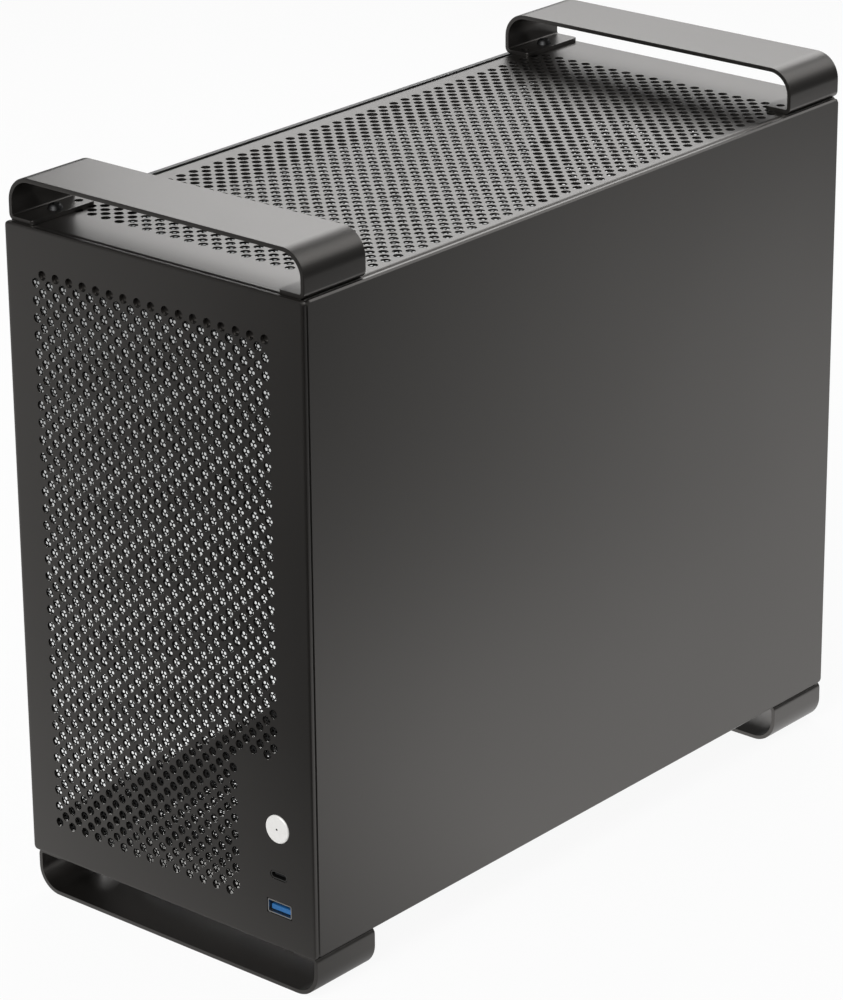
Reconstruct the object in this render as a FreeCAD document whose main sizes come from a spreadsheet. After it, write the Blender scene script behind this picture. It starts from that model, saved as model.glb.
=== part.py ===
import FreeCAD, Part
import Sketcher
import os
from math import cos, pi, sin
from types import SimpleNamespace

# Micro-ATX tower case: two folded trays carry a perforated front plate, a rear pan, a board tray,
# a solid side panel, a glass side panel, two carrying handles and two feet bent from flat strip.
# Frame: millimetres, +Z up, floor at Z = 0, front towards -Y, solid panel at +X, glass at -X.

Vector = FreeCAD.Vector
doc = FreeCAD.newDocument("micro_atx_case")

# Driving dimensions, one named cell each.
SIZES = {
    # overall
    "case_width": 171, "case_depth": 375, "body_height": 299, "loop_height": 20.5,
    # sheets and skins
    "sheet": 1.5, "bend_radius": 2, "front_thickness": 2, "front_corner": 2, "front_chamfer": 0.6,
    "side_thickness": 2, "glass_thickness": 3, "panel_corner": 2.5, "panel_edge": 0.7,
    "bond_strip": 1, "bond_strip_inset": 12, "seam": 0.3,
    # lips of the two trays
    "top_glass_lip": 17, "top_side_lip": 28, "top_front_lip": 22,
    "bottom_glass_lip": 15, "bottom_side_lip": 26, "bottom_front_lip": 15, "lip_relief": 3,
    # handles and feet, bent from flat strip
    "strip_thickness": 2, "strip_depth": 38, "strip_inset": 1, "loop_radius": 12,
    "seat_radius": 3, "seat_length": 14.5, "seat_corner": 2, "dowel_hole": 4, "dowel_edge": 4.6,
    # staggered perforation
    "front_pitch": 36, "front_hole": 20, "top_pitch": 40, "top_hole": 22,
    "floor_pitch": 48, "floor_hole": 27, "vent_pitch": 20, "vent_hole": 13,
    "front_grille_left": 15.3, "front_grille_right": 19.3,
    "front_grille_top": 24, "front_grille_bottom": 16.3,
    "top_grille_left": 11.3, "top_grille_right": 7.3, "top_grille_ends": 27.3,
    "floor_grille_side": 16, "floor_grille_ends": 42,
    "control_zone_width": 42, "control_zone_height": 86,
    # controls in the bare corner of the front
    "control_inset": 20.5, "button_height": 56.8, "button_diameter": 13, "button_gap": 0.25,
    "button_proud": 0.6, "button_thickness": 2.4, "button_chamfer": 0.3,
    "stem_diameter": 5, "stem_length": 6, "stem_gap": 0.25, "switch_width": 12,
    "switch_setback": 3.6, "switch_bore": 9,
    "usb_a_height": 18.6, "usb_a_width": 13.7, "usb_a_tall": 6.3, "usb_wall": 0.5,
    "usb_c_height": 34.4, "usb_c_width": 9.2, "usb_c_tall": 3.5, "socket_gap": 0.3,
    "socket_recess": 0.2, "tongue_recess": 1.2, "tongue_base": 4,
    "usb_a_tongue_width": 11, "usb_a_tongue_tall": 2.2, "usb_a_tongue_rise": -0.7,
    "usb_c_tongue_width": 6.7, "usb_c_tongue_tall": 0.7,
    "board_setback": 14, "io_board_thickness": 1.6, "io_board_width": 24, "io_board_margin": 10,
    "bracket_sheet": 1.2, "bracket_foot": 13, "bracket_width": 16,
    # dust filters
    "filter_thickness": 0.6, "filter_margin": 3,
    # board tray and its standoffs
    "tray_offset": 14, "tray_sheet": 1.2, "tray_flange": 11, "tray_front_extra": 24,
    "standoff_height": 6.5, "standoff_width": 5.5, "standoff_bore": 3,
    "board_size": 244, "board_thickness": 1.6, "board_drop": 32, "board_rear_gap": 1.5,
    # rear pan
    "rear_recess": 12, "rear_flange": 10, "io_length": 158.75, "io_width": 44.45,
    "io_below_board": 3.81, "io_above_edge": 1.5,
    "slot_first": 167, "slot_pitch": 20.32, "slot_opening": 12.5, "slot_length": 102,
    "slot_cover_sheet": 0.9, "slot_cover_width": 18.4, "slot_ledge": 10.5, "slot_root": 2,
    "fan_from_top": 70, "fan_clearance": 4.08, "fan_hole_inset": 4.75, "fan_vent_inset": 4, "fan_hole": 4.4,
    "inlet_from_glass": 22, "inlet_clearance": 6, "inlet_width": 19.8, "inlet_tall": 27.4,
    "inlet_flange_width": 23, "inlet_flange_tall": 50, "inlet_flange_thickness": 3,
    "inlet_depth": 24, "inlet_wall": 2, "inlet_spacing": 40, "pin_width": 2, "pin_tall": 4,
    "pin_length": 15, "pin_spread": 7, "pin_offset": 3,
    # power supply bracket
    "psu_plate_width": 66, "psu_plate_tall": 136, "psu_height": 100, "psu_gap": 8,
    "psu_flange": 12, "psu_window_width": 44, "psu_window_tall": 102,
    "psu_spacing_tall": 113, "psu_spacing_wide": 51.5, "psu_hole": 3.6,
    # studs and clips of the pull-off panels
    "stud_from_top": 10, "stud_from_bottom": 9, "stud_from_end": 47, "stud_neck": 3, "stud_ball": 5,
    "stud_ball_length": 3, "stud_length": 7, "stud_hole": 7, "clip_bore": 5.6, "clip_width": 9,
    "clip_length": 12, "clip_depth": 7,
    # fasteners
    "screw_hole": 4, "screw_shank": 3.6, "screw_head": 7, "screw_head_tall": 2.2, "screw_reach": 2,
    "small_hole": 3, "small_shank": 2.7, "small_head": 5.5, "small_head_tall": 1.6,
    "blind_depth": 1.2, "lip_screw_span": 110,
}


class Size:
    """A length together with its sheet formula, so that sums of sizes stay bound to the cells."""

    def __init__(self, formula, value):
        self.formula = formula
        self.value = value

    def combine(self, sign, other, value):
        return Size("(%s %s %s)" % (self.formula, sign, other.formula), value)

    def __add__(self, other):
        other = as_size(other)
        return self.combine("+", other, self.value + other.value)

    def __sub__(self, other):
        other = as_size(other)
        return self.combine("-", other, self.value - other.value)

    def __mul__(self, other):
        other = as_size(other)
        return self.combine("*", other, self.value * other.value)

    def __truediv__(self, other):
        other = as_size(other)
        return self.combine("/", other, self.value / other.value)

    def __rsub__(self, other):
        return as_size(other) - self

    def __neg__(self):
        return Size("(-%s)" % self.formula, -self.value)

    __radd__ = __add__
    __rmul__ = __mul__


def as_size(number):
    return number if isinstance(number, Size) else Size("%.9g" % number, float(number))


sheet = doc.addObject("Spreadsheet::Sheet", "Sizes")
for row, (alias, number) in enumerate(SIZES.items(), start=1):
    sheet.set("A%d" % row, alias)
    sheet.set("B%d" % row, str(number))
    sheet.setAlias("B%d" % row, alias)
doc.recompute()
s = SimpleNamespace(**{alias: Size("Sizes." + alias, float(sheet.get(alias))) for alias in SIZES})

# Planes that the pieces share.
half_width = s.case_width / 2
front_face = -s.case_depth / 2
rear_face = s.case_depth / 2
body_bottom = s.loop_height
body_top = s.loop_height + s.body_height
chassis_front = front_face + s.front_thickness
glass_inside = -half_width + s.glass_thickness
chassis_left = glass_inside + s.bond_strip + s.seam
side_inside = half_width - s.side_thickness
chassis_right = side_inside - s.seam
inner_left = chassis_left + s.sheet
inner_right = chassis_right - s.sheet
inner_bottom = body_bottom + s.sheet
inner_top = body_top - s.sheet
rear_outside = rear_face - s.rear_recess
rear_inside = rear_outside - s.sheet
tray_face = chassis_right - s.tray_offset
board_top = body_top - s.board_drop
board_rear = rear_inside - s.board_rear_gap
board_face = tray_face - s.standoff_height - s.board_thickness

# Each sketch plane with the direction of its normal along the world axis.
PLANES = {"XY": ("XY_Plane", 1), "XZ": ("XZ_Plane", -1), "YZ": ("YZ_Plane", 1)}
finished = []


def keep(piece, label):
    """Give a finished piece its name."""
    piece.Label = label
    finished.append(piece)
    return piece


def new_body(name):
    return doc.addObject("PartDesign::Body", name + "_body")


def rectangle(low_x, low_y, high_x, high_y):
    return [(low_x, low_y), (high_x, low_y), (high_x, high_y), (low_x, high_y)]


def circle(x, y, diameter):
    return SimpleNamespace(x=as_size(x), y=as_size(y), radius=as_size(diameter) / 2)


def six_sided(x, y, diameter):
    """A hole for a small fastener, drawn with six flats to keep the model light."""
    radius = as_size(diameter) / 2
    return [(x + radius * cos(pi * side / 3), y + radius * sin(pi * side / 3)) for side in range(6)]


def fix_point(sketch, geometry, point, x, y):
    """Tie a sketch point to its two formulas, measured from the sketch's origin."""
    for kind, size in (("DistanceX", as_size(x)), ("DistanceY", as_size(y))):
        place = Sketcher.Constraint(kind, -1, 1, geometry, point, size.value)
        sketch.setExpression("Constraints[%d]" % sketch.addConstraint(place), size.formula)


def draw(sketch, loop):
    """Draw a circle, or a closed outline of straight lines, fully constrained."""
    first = sketch.GeometryCount
    if isinstance(loop, SimpleNamespace):
        centre = Vector(loop.x.value, loop.y.value, 0)
        sketch.addGeometry(Part.Circle(centre, Vector(0, 0, 1), loop.radius.value), False)
        fix_point(sketch, first, 3, loop.x, loop.y)
        radius = Sketcher.Constraint("Radius", first, loop.radius.value)
        sketch.setExpression("Constraints[%d]" % sketch.addConstraint(radius), loop.radius.formula)
        return
    points = [Vector(as_size(x).value, as_size(y).value, 0) for x, y in loop]
    count = len(points)
    for index in range(count):
        line = Part.LineSegment(points[index], points[(index + 1) % count])
        sketch.addGeometry(line, False)
    for index, (x, y) in enumerate(loop):
        following = first + (index + 1) % count
        sketch.addConstraint(Sketcher.Constraint("Coincident", first + index, 2, following, 1))
        fix_point(sketch, first + index, 1, x, y)


def sketch_on(body, plane, at, loops):
    role, direction = PLANES[plane]
    sketch = body.newObject("Sketcher::SketchObject", body.Name + "_sketch")
    sketch.AttachmentSupport = [(next(f for f in body.Origin.OriginFeatures if f.Role == role), "")]
    sketch.MapMode = "FlatFace"
    sketch.setExpression("AttachmentOffset.Base.z", (as_size(at) * direction).formula)
    for loop in loops:
        draw(sketch, loop)
    return sketch


def pad(body, plane, at, depth, *loops):
    """Add material from one plane towards the positive axis."""
    feature = body.newObject("PartDesign::Pad", body.Name + "_pad")
    feature.Profile = sketch_on(body, plane, at, loops)
    feature.Reversed = PLANES[plane][1] < 0
    feature.setExpression("Length", as_size(depth).formula)
    doc.recompute()
    return feature


def pocket(body, plane, at, depth, *loops):
    """Remove material from one plane towards the positive axis, and make sure that some went."""
    before = body.Shape.Volume
    feature = body.newObject("PartDesign::Pocket", body.Name + "_pocket")
    feature.Profile = sketch_on(body, plane, at, loops)
    feature.Reversed = PLANES[plane][1] > 0
    feature.setExpression("Length", as_size(depth).formula)
    doc.recompute()
    if body.Shape.Volume >= before:
        raise RuntimeError("a pocket of %s cuts nothing" % body.Name)
    return feature


def straight_edges(shape, axis, spots):
    """Names of the straight edges along an axis that pass through the given spots."""
    other = [index for index in range(3) if index != "XYZ".index(axis)]
    names = []
    for number, edge in enumerate(shape.Edges, start=1):
        ends = [vertex.Point for vertex in edge.Vertexes]
        if len(ends) != 2 or edge.Curve.TypeId != "Part::GeomLine":
            continue
        across = [abs(ends[0][index] - ends[1][index]) for index in other]
        near = any(
            all(abs(ends[0][index] - as_size(value).value) < 1e-4 for index, value in zip(other, spot))
            for spot in spots
        )
        if max(across) < 1e-6 and near:
            names.append("Edge%d" % number)
    return names


def level_edges(shape, axis, level):
    """Names of the edges that lie in the plane of one level of an axis."""
    index = "XYZ".index(axis)
    names = []
    for number, edge in enumerate(shape.Edges, start=1):
        box = edge.BoundBox
        low, high = ((box.XMin, box.XMax), (box.YMin, box.YMax), (box.ZMin, box.ZMax))[index]
        if max(abs(low - level.value), abs(high - level.value)) < 1e-4:
            names.append("Edge%d" % number)
    return names


def dress(body, kind, size, names):
    """Fillet or chamfer the named edges of a body."""
    base = body.Tip
    feature = body.newObject("PartDesign::" + kind, body.Name + "_" + kind.lower())
    feature.Base = (base, names)
    feature.setExpression("Radius" if kind == "Fillet" else "Size", as_size(size).formula)
    doc.recompute()


def corner_spots(low_a, low_b, high_a, high_b):
    return [(a, b) for a in (low_a, high_a) for b in (low_b, high_b)]


def shape_piece(label, shape):
    """A piece made of repeated or turned solids."""
    piece = doc.addObject("Part::Feature", label)
    piece.Shape = shape
    return keep(piece, label)


def staggered(low_x, low_y, high_x, high_y, pitch):
    """Centres of rows set half a pitch apart and shifted by half a pitch, centred in a field."""
    half = pitch / 2
    across = int((high_x - low_x) / half + 1e-6)
    up = int((high_y - low_y) / half + 1e-6)
    start_x = (low_x + high_x - across * half) / 2
    start_y = (low_y + high_y - up * half) / 2
    return [
        (start_x + column * half, start_y + line * half)
        for line in range(up + 1)
        for column in range(across + 1)
        if (column + line) % 2 == 0
    ]


def prism(start, sweep, diameter):
    """A six-sided bar from a start point along one axis, with corners on the lower other axis."""
    across = [axis for axis in (Vector(1, 0, 0), Vector(0, 1, 0), Vector(0, 0, 1)) if not axis.dot(sweep)]
    rim = [start + (across[0] * cos(pi * side / 3) + across[1] * sin(pi * side / 3)) * (diameter / 2)
           for side in range(7)]
    return Part.Face(Part.makePolygon(rim)).extrude(sweep)


def hole_cutters(name, axis, at, depth, spots, diameter):
    """Prisms along Y or Z that stand for the round holes of a perforation."""
    over = 1.0
    low = at - over
    step = depth + 2 * over
    sweep = Vector(0, step, 0) if axis == "Y" else Vector(0, 0, step)
    starts = [Vector(a, low, b) if axis == "Y" else Vector(a, b, low) for a, b in spots]
    cutters = doc.addObject("Part::Feature", name + "_holes")
    cutters.Shape = Part.makeCompound([prism(start, sweep, diameter) for start in starts])
    return cutters


def perforate(label, plate, cutters):
    result = doc.addObject("Part::Cut", label)
    result.Base = plate
    result.Tool = cutters
    doc.recompute()
    return keep(result, label)


def screws(label, seats, axis, head, head_tall, shank, reach):
    """Screws with six-sided heads: the head lies on its seat and the shank runs along the axis."""
    solids = []
    for seat in seats:
        place = Vector(*[as_size(value).value for value in seat])
        top = prism(place, axis * -head_tall.value, head.value)
        solids.append(top.fuse(prism(place, axis * as_size(reach).value, shank.value)))
    return shape_piece(label, Part.makeCompound(solids))


# Front plate: one flat sheet with rounded corners and a chamfered rim. The perforation leaves a
# bare corner at the lower right for the button and the two sockets.
control_x = half_width - s.control_inset
button_z = body_bottom + s.button_height
usb_c_z = body_bottom + s.usb_c_height
usb_a_z = body_bottom + s.usb_a_height
lip_screw_x = [-s.lip_screw_span / 2, s.lip_screw_span / 2 - s.control_inset]
top_lip_z = body_top - s.top_front_lip / 2
bottom_lip_z = body_bottom + (s.bottom_front_lip + s.sheet) / 2

front = new_body("front_panel")
pad(front, "XZ", front_face, s.front_thickness, rectangle(-half_width, body_bottom, half_width, body_top))
dress(front, "Chamfer", s.front_corner, straight_edges(
    front.Shape, "Y", corner_spots(-half_width, body_bottom, half_width, body_top)))
dress(front, "Chamfer", s.front_chamfer, level_edges(front.Shape, "Y", front_face))
socket_a = (s.usb_a_width / 2 + s.socket_gap, s.usb_a_tall / 2 + s.socket_gap)
socket_c_radius = s.usb_c_tall / 2 + s.socket_gap
socket_c_reach = s.usb_c_width / 2 - s.usb_c_tall / 2
pocket(front, "XZ", front_face, s.front_thickness,
       circle(control_x, button_z, s.button_diameter + 2 * s.button_gap),
       rectangle(control_x - socket_a[0], usb_a_z - socket_a[1],
                 control_x + socket_a[0], usb_a_z + socket_a[1]),
       rectangle(control_x - socket_c_reach, usb_c_z - socket_c_radius,
                 control_x + socket_c_reach, usb_c_z + socket_c_radius))
pocket(front, "XZ", front_face, s.front_thickness,
       circle(control_x - socket_c_reach, usb_c_z, 2 * socket_c_radius),
       circle(control_x + socket_c_reach, usb_c_z, 2 * socket_c_radius))
pocket(front, "XZ", chassis_front - s.blind_depth, s.blind_depth,
       *[six_sided(x, z, s.small_hole) for z in (top_lip_z, bottom_lip_z) for x in lip_screw_x])
rim = s.front_hole / 2
zone_left = half_width - s.control_zone_width
zone_top = body_bottom + s.control_zone_height
front_field = staggered(
    (-half_width + s.front_grille_left + rim).value, (body_bottom + s.front_grille_bottom + rim).value,
    (half_width - s.front_grille_right - rim).value, (body_top - s.front_grille_top - rim).value,
    s.front_pitch.value)
front_field = [
    (x, z) for x, z in front_field
    if x + rim.value < zone_left.value or z - rim.value > zone_top.value
]
perforate("front_panel", front, hole_cutters(
    "front_panel", "Y", front_face.value, s.front_thickness.value, front_field, s.front_hole.value))

# Handles and feet: one flat strip bent into a wide loop whose ends turn in and lie on the trays.
strip_side = half_width - s.strip_inset
seat_edge = strip_side - s.seat_length
seat_screw_x = strip_side - (s.seat_length + s.seat_radius) / 2
front_strip_y = chassis_front
rear_strip_y = rear_face - s.strip_depth
strip_starts = {"front": front_strip_y, "rear": rear_strip_y}


def strip_loop(label, start, seat_level, away):
    """Bend one strip: away is +1 for a handle above the case and -1 for a foot below it."""
    thickness = s.strip_thickness
    crown = seat_level + away * s.loop_height
    inner_crown = crown - away * thickness
    inner_seat = seat_level + away * thickness
    inner_side = strip_side - thickness
    right = [(strip_side, crown), (strip_side, seat_level), (seat_edge, seat_level),
             (seat_edge, inner_seat), (inner_side, inner_seat), (inner_side, inner_crown)]
    left = [(-x, z) for x, z in reversed(right)]
    body = new_body(label)
    pad(body, "XZ", start, s.strip_depth, right + left)
    for radius, x, z in ((s.loop_radius, strip_side, crown),
                         (s.loop_radius - thickness, inner_side, inner_crown),
                         (s.seat_radius, strip_side, seat_level)):
        dress(body, "Fillet", radius, straight_edges(body.Shape, "Y", [(x, z), (-x, z)]))
    end = start + s.strip_depth
    dress(body, "Chamfer", s.seat_corner, straight_edges(
        body.Shape, "Z", corner_spots(-seat_edge, start, seat_edge, end)))
    middle = start + s.strip_depth / 2
    inner_end = end - s.dowel_edge if start is front_strip_y else start + s.dowel_edge
    low = seat_level if away > 0 else seat_level - thickness
    pocket(body, "XY", low, thickness,
           *[six_sided(x, middle, s.screw_hole) for x in (-seat_screw_x, seat_screw_x)],
           *[six_sided(x, inner_end, s.dowel_hole) for x in (-seat_screw_x, seat_screw_x)])
    return keep(body, label)


for end_name, strip_start in strip_starts.items():
    strip_loop(end_name + "_handle", strip_start, body_top, 1)
    strip_loop(end_name + "_foot", strip_start, body_bottom, -1)

seat_spots = [(x, start + s.strip_depth / 2)
              for start in strip_starts.values() for x in (-seat_screw_x, seat_screw_x)]
seat_reach = s.strip_thickness + s.sheet + s.screw_reach
screws("handle_screws", [(x, y, body_top + s.strip_thickness) for x, y in seat_spots],
       Vector(0, 0, -1), s.screw_head, s.screw_head_tall, s.screw_shank, seat_reach)
screws("foot_screws", [(x, y, body_bottom - s.strip_thickness) for x, y in seat_spots],
       Vector(0, 0, 1), s.screw_head, s.screw_head_tall, s.screw_shank, seat_reach)

# Top and bottom trays: a sheet folded into a shallow channel with a front lip. The lips carry the
# clips of the side panels, the front plate, the rear pan and the board tray.
stud_y = [chassis_front + s.stud_from_end, rear_face - s.stud_from_end]
stud_z = [body_top - s.stud_from_top, body_bottom + s.stud_from_bottom]
tray_front = board_rear - s.board_size - s.tray_front_extra
tray_flange_end = rear_inside - s.rear_flange - s.seam


def folded_tray(label, face, inward, glass_lip, side_lip, front_lip, stud_level, field, hole):
    """Fold one tray: inward is -1 for the top, whose lips hang down, and +1 for the bottom."""
    inside = face + inward * s.sheet
    glass_end = face + inward * glass_lip
    side_end = face + inward * side_lip
    body = new_body(label)
    pad(body, "XZ", chassis_front, rear_face - chassis_front, [
        (chassis_left, face), (chassis_right, face), (chassis_right, side_end), (inner_right, side_end),
        (inner_right, inside), (inner_left, inside), (inner_left, glass_end), (chassis_left, glass_end)])
    lip_left = inner_left + s.lip_relief
    lip_right = inner_right - s.lip_relief
    pad(body, "XZ", chassis_front, s.sheet, rectangle(
        lip_left, face + inward * s.sheet / 2, lip_right, face + inward * front_lip))
    dress(body, "Fillet", s.bend_radius, straight_edges(
        body.Shape, "Y", [(chassis_left, face), (chassis_right, face)]))
    low = face if inward > 0 else inside
    pocket(body, "XY", low, s.sheet, *[six_sided(x, y, s.screw_hole) for x, y in seat_spots])
    lip_z = top_lip_z if inward < 0 else bottom_lip_z
    pocket(body, "XZ", chassis_front, s.sheet, *[six_sided(x, lip_z, s.small_hole) for x in lip_screw_x])
    studs = [six_sided(y, stud_level, s.stud_hole) for y in stud_y]
    pocket(body, "YZ", chassis_left, s.sheet, *studs)
    pocket(body, "YZ", inner_right, s.sheet, *studs)
    perforate(label, body, hole_cutters(label, "Z", low.value, s.sheet.value, field, hole.value))


top_rim = s.top_hole / 2
top_field = staggered(
    (-half_width + s.top_grille_left + top_rim).value, (front_face + s.top_grille_ends + top_rim).value,
    (half_width - s.top_grille_right - top_rim).value, (rear_face - s.top_grille_ends - top_rim).value,
    s.top_pitch.value)
floor_rim = s.floor_hole / 2
floor_x = half_width - s.floor_grille_side - floor_rim
floor_y = rear_face - s.floor_grille_ends - floor_rim
floor_field = staggered(
    -floor_x.value, -floor_y.value, floor_x.value, floor_y.value, s.floor_pitch.value)
folded_tray("top_panel", body_top, -1, s.top_glass_lip, s.top_side_lip, s.top_front_lip,
            stud_z[0], top_field, s.top_hole)
folded_tray("bottom_panel", body_bottom, 1, s.bottom_glass_lip, s.bottom_side_lip, s.bottom_front_lip,
            stud_z[1], floor_field, s.floor_hole)
screws("front_panel_screws", [(x, chassis_front + s.sheet, z)
                              for z in (top_lip_z, bottom_lip_z) for x in lip_screw_x],
       Vector(0, -1, 0), s.small_head, s.small_head_tall, s.small_shank, s.sheet + s.blind_depth)

# Dust filters: thin mesh sheets against the inner faces of the perforated walls.


def flat_sheet(label, plane, at, depth, outline):
    body = new_body(label)
    pad(body, plane, at, depth, outline)
    return keep(body, label)


filter_left = -half_width + s.front_grille_left - s.filter_margin
filter_right = half_width - s.front_grille_right + s.filter_margin
filter_low = body_bottom + s.bottom_front_lip + s.seam
filter_high = body_top - s.top_front_lip - s.seam
filter_notch = zone_left + s.filter_margin / 2
filter_step = zone_top - s.filter_margin / 2
flat_sheet("front_dust_filter", "XZ", chassis_front, s.filter_thickness, [
    (filter_left, filter_low), (filter_notch, filter_low), (filter_notch, filter_step),
    (filter_right, filter_step), (filter_right, filter_high), (filter_left, filter_high)])
top_filter_end = s.case_depth / 2 - s.top_grille_ends + s.seam
flat_sheet("top_dust_filter", "XY", inner_top - s.filter_thickness, s.filter_thickness, rectangle(
    inner_left + s.filter_margin, -top_filter_end, inner_right - s.filter_margin, top_filter_end))
floor_filter_x = half_width - s.floor_grille_side + s.filter_margin
floor_filter_y = s.case_depth / 2 - s.floor_grille_ends + s.filter_margin
flat_sheet("bottom_dust_filter", "XY", inner_bottom, s.filter_thickness, rectangle(
    -floor_filter_x, -floor_filter_y, floor_filter_x, floor_filter_y))

# Side panels: a solid sheet on the right and glass on the left. Ball studs on their inner faces
# press into spring clips behind the trays' lips, so both pull straight off.
panel_y = (chassis_front + s.seam, rear_face)
panel_z = (body_bottom + s.seam, body_top - s.seam)


def side_panel(label, at, thickness, outer):
    body = new_body(label)
    pad(body, "YZ", at, thickness, rectangle(panel_y[0], panel_z[0], panel_y[1], panel_z[1]))
    dress(body, "Chamfer", s.panel_corner, straight_edges(
        body.Shape, "X", corner_spots(panel_y[0], panel_z[0], panel_y[1], panel_z[1])))
    dress(body, "Chamfer", s.panel_edge, level_edges(body.Shape, "X", outer))
    return keep(body, label)


side_panel("right_side_panel", side_inside, s.side_thickness, half_width)
side_panel("left_glass_panel", -half_width, s.glass_thickness, -half_width)
strip_y = (panel_y[0] + s.bond_strip_inset, rear_face - s.bond_strip_inset)
flat_sheet("glass_top_strip", "YZ", glass_inside, s.bond_strip, rectangle(
    strip_y[0], body_top - s.top_glass_lip, strip_y[1], panel_z[1] - s.panel_corner))
flat_sheet("glass_bottom_strip", "YZ", glass_inside, s.bond_strip, rectangle(
    strip_y[0], panel_z[0] + s.panel_corner, strip_y[1], body_bottom + s.bottom_glass_lip))


def ball_studs(label, base_x, inward):
    """Studs on the panel's inner face: a neck with a thicker end that snaps into its clip."""
    neck_length = s.stud_length.value - s.stud_ball_length.value
    solids = []
    for y in stud_y:
        for z in stud_z:
            root = Vector(base_x.value, y.value, z.value)
            axis = Vector(inward, 0, 0)
            neck = prism(root, axis * neck_length, s.stud_neck.value)
            end = prism(root + axis * neck_length, axis * s.stud_ball_length.value, s.stud_ball.value)
            solids.append(neck.fuse(end))
    return shape_piece(label, Part.makeCompound(solids))


def stud_clips(label, lip_face, inward):
    """Moulded clips on the inner face of the lips, bored for the studs."""
    solids = []
    for y in stud_y:
        for z in stud_z:
            depth = s.clip_depth.value
            near = lip_face.value if inward > 0 else lip_face.value - depth
            corner = Vector(near, y.value - s.clip_length.value / 2, z.value - s.clip_width.value / 2)
            block = Part.makeBox(depth, s.clip_length.value, s.clip_width.value, corner)
            bore = prism(Vector(near, y.value, z.value), Vector(depth, 0, 0), s.clip_bore.value)
            solids.append(block.cut(bore))
    return shape_piece(label, Part.makeCompound(solids))


ball_studs("side_panel_studs", side_inside, -1)
ball_studs("glass_studs", glass_inside + s.bond_strip, 1)
stud_clips("side_panel_clips", inner_right, -1)
stud_clips("glass_clips", inner_left, 1)

# Controls: the turned button cap slides into its switch, and the two sockets stand on a small
# circuit board that a bent bracket holds behind the bare corner of the front plate.
io_board_front = front_face + s.board_setback
io_board_rear = io_board_front + s.io_board_thickness
io_board_low = usb_a_z - s.io_board_margin
io_board_high = button_z + s.io_board_margin
io_board_x = (control_x - s.io_board_width / 2, control_x + s.io_board_width / 2)


def turned(profile, place):
    """Turn an outline of radius and length about an axis along +Y."""
    points = [Vector(radius.value, length.value, 0) for radius, length in profile]
    face = Part.Face(Part.makePolygon(points + points[:1]))
    solid = face.revolve(Vector(0, 0, 0), Vector(0, 1, 0), 360)
    solid.translate(Vector(*[value.value for value in place]))
    return solid


zero = as_size(0)
cap_radius = s.button_diameter / 2
cap_front = front_face - s.button_proud
stem_end = s.button_thickness + s.stem_length
shape_piece("power_button", turned([
    (zero, zero), (cap_radius - s.button_chamfer, zero),
    (cap_radius, s.button_chamfer), (cap_radius, s.button_thickness),
    (s.stem_diameter / 2, s.button_thickness), (s.stem_diameter / 2, stem_end), (zero, stem_end)],
    (control_x, cap_front, button_z)))
def around(x, z, width, tall):
    return rectangle(x - width / 2, z - tall / 2, x + width / 2, z + tall / 2)


switch_front = front_face + s.switch_setback
switch = new_body("power_switch")
pad(switch, "XZ", switch_front, io_board_front - switch_front,
    around(control_x, button_z, s.switch_width, s.switch_width))
pocket(switch, "XZ", switch_front, s.switch_bore,
       circle(control_x, button_z, s.stem_diameter + 2 * s.stem_gap))
keep(switch, "power_switch")

socket_front = front_face + s.socket_recess
socket_length = io_board_front - socket_front
tongue_front = socket_front + s.tongue_recess


usb_a_inside = (s.usb_a_width - 2 * s.usb_wall, s.usb_a_tall - 2 * s.usb_wall)
usb_a = new_body("usb_a_shell")
pad(usb_a, "XZ", socket_front, socket_length, around(control_x, usb_a_z, s.usb_a_width, s.usb_a_tall))
dress(usb_a, "Chamfer", s.usb_wall, straight_edges(usb_a.Shape, "Y", corner_spots(
    control_x - s.usb_a_width / 2, usb_a_z - s.usb_a_tall / 2,
    control_x + s.usb_a_width / 2, usb_a_z + s.usb_a_tall / 2)))
pocket(usb_a, "XZ", socket_front, socket_length, around(control_x, usb_a_z, *usb_a_inside))
keep(usb_a, "usb_a_shell")
usb_c_inside = (s.usb_c_width - 2 * s.usb_wall, s.usb_c_tall - 2 * s.usb_wall)
usb_c = new_body("usb_c_shell")
pad(usb_c, "XZ", socket_front, socket_length, around(control_x, usb_c_z, s.usb_c_width, s.usb_c_tall))
pocket(usb_c, "XZ", socket_front, socket_length, around(control_x, usb_c_z, *usb_c_inside))
dress(usb_c, "Fillet", s.usb_c_tall / 2 - s.usb_wall / 4, straight_edges(usb_c.Shape, "Y", corner_spots(
    control_x - s.usb_c_width / 2, usb_c_z - s.usb_c_tall / 2,
    control_x + s.usb_c_width / 2, usb_c_z + s.usb_c_tall / 2)))
dress(usb_c, "Fillet", usb_c_inside[1] / 2 - s.usb_wall / 4, straight_edges(
    usb_c.Shape, "Y", corner_spots(
        control_x - usb_c_inside[0] / 2, usb_c_z - usb_c_inside[1] / 2,
        control_x + usb_c_inside[0] / 2, usb_c_z + usb_c_inside[1] / 2)))
keep(usb_c, "usb_c_shell")


def socket_tongue(label, z, base_size, tongue_size, rise):
    """Moulded insert: a base block on the board with the contact tongue in front of it."""
    base_front = io_board_front - s.tongue_base
    body = new_body(label)
    pad(body, "XZ", base_front, s.tongue_base, around(control_x, z, *base_size))
    pad(body, "XZ", tongue_front, base_front - tongue_front, around(control_x, z + rise, *tongue_size))
    keep(body, label)


socket_tongue("usb_a_tongue", usb_a_z, usb_a_inside,
              (s.usb_a_tongue_width, s.usb_a_tongue_tall), s.usb_a_tongue_rise)
socket_tongue("usb_c_tongue", usb_c_z, (usb_c_inside[0] - usb_c_inside[1], usb_c_inside[1]),
              (s.usb_c_tongue_width, s.usb_c_tongue_tall), zero)

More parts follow.
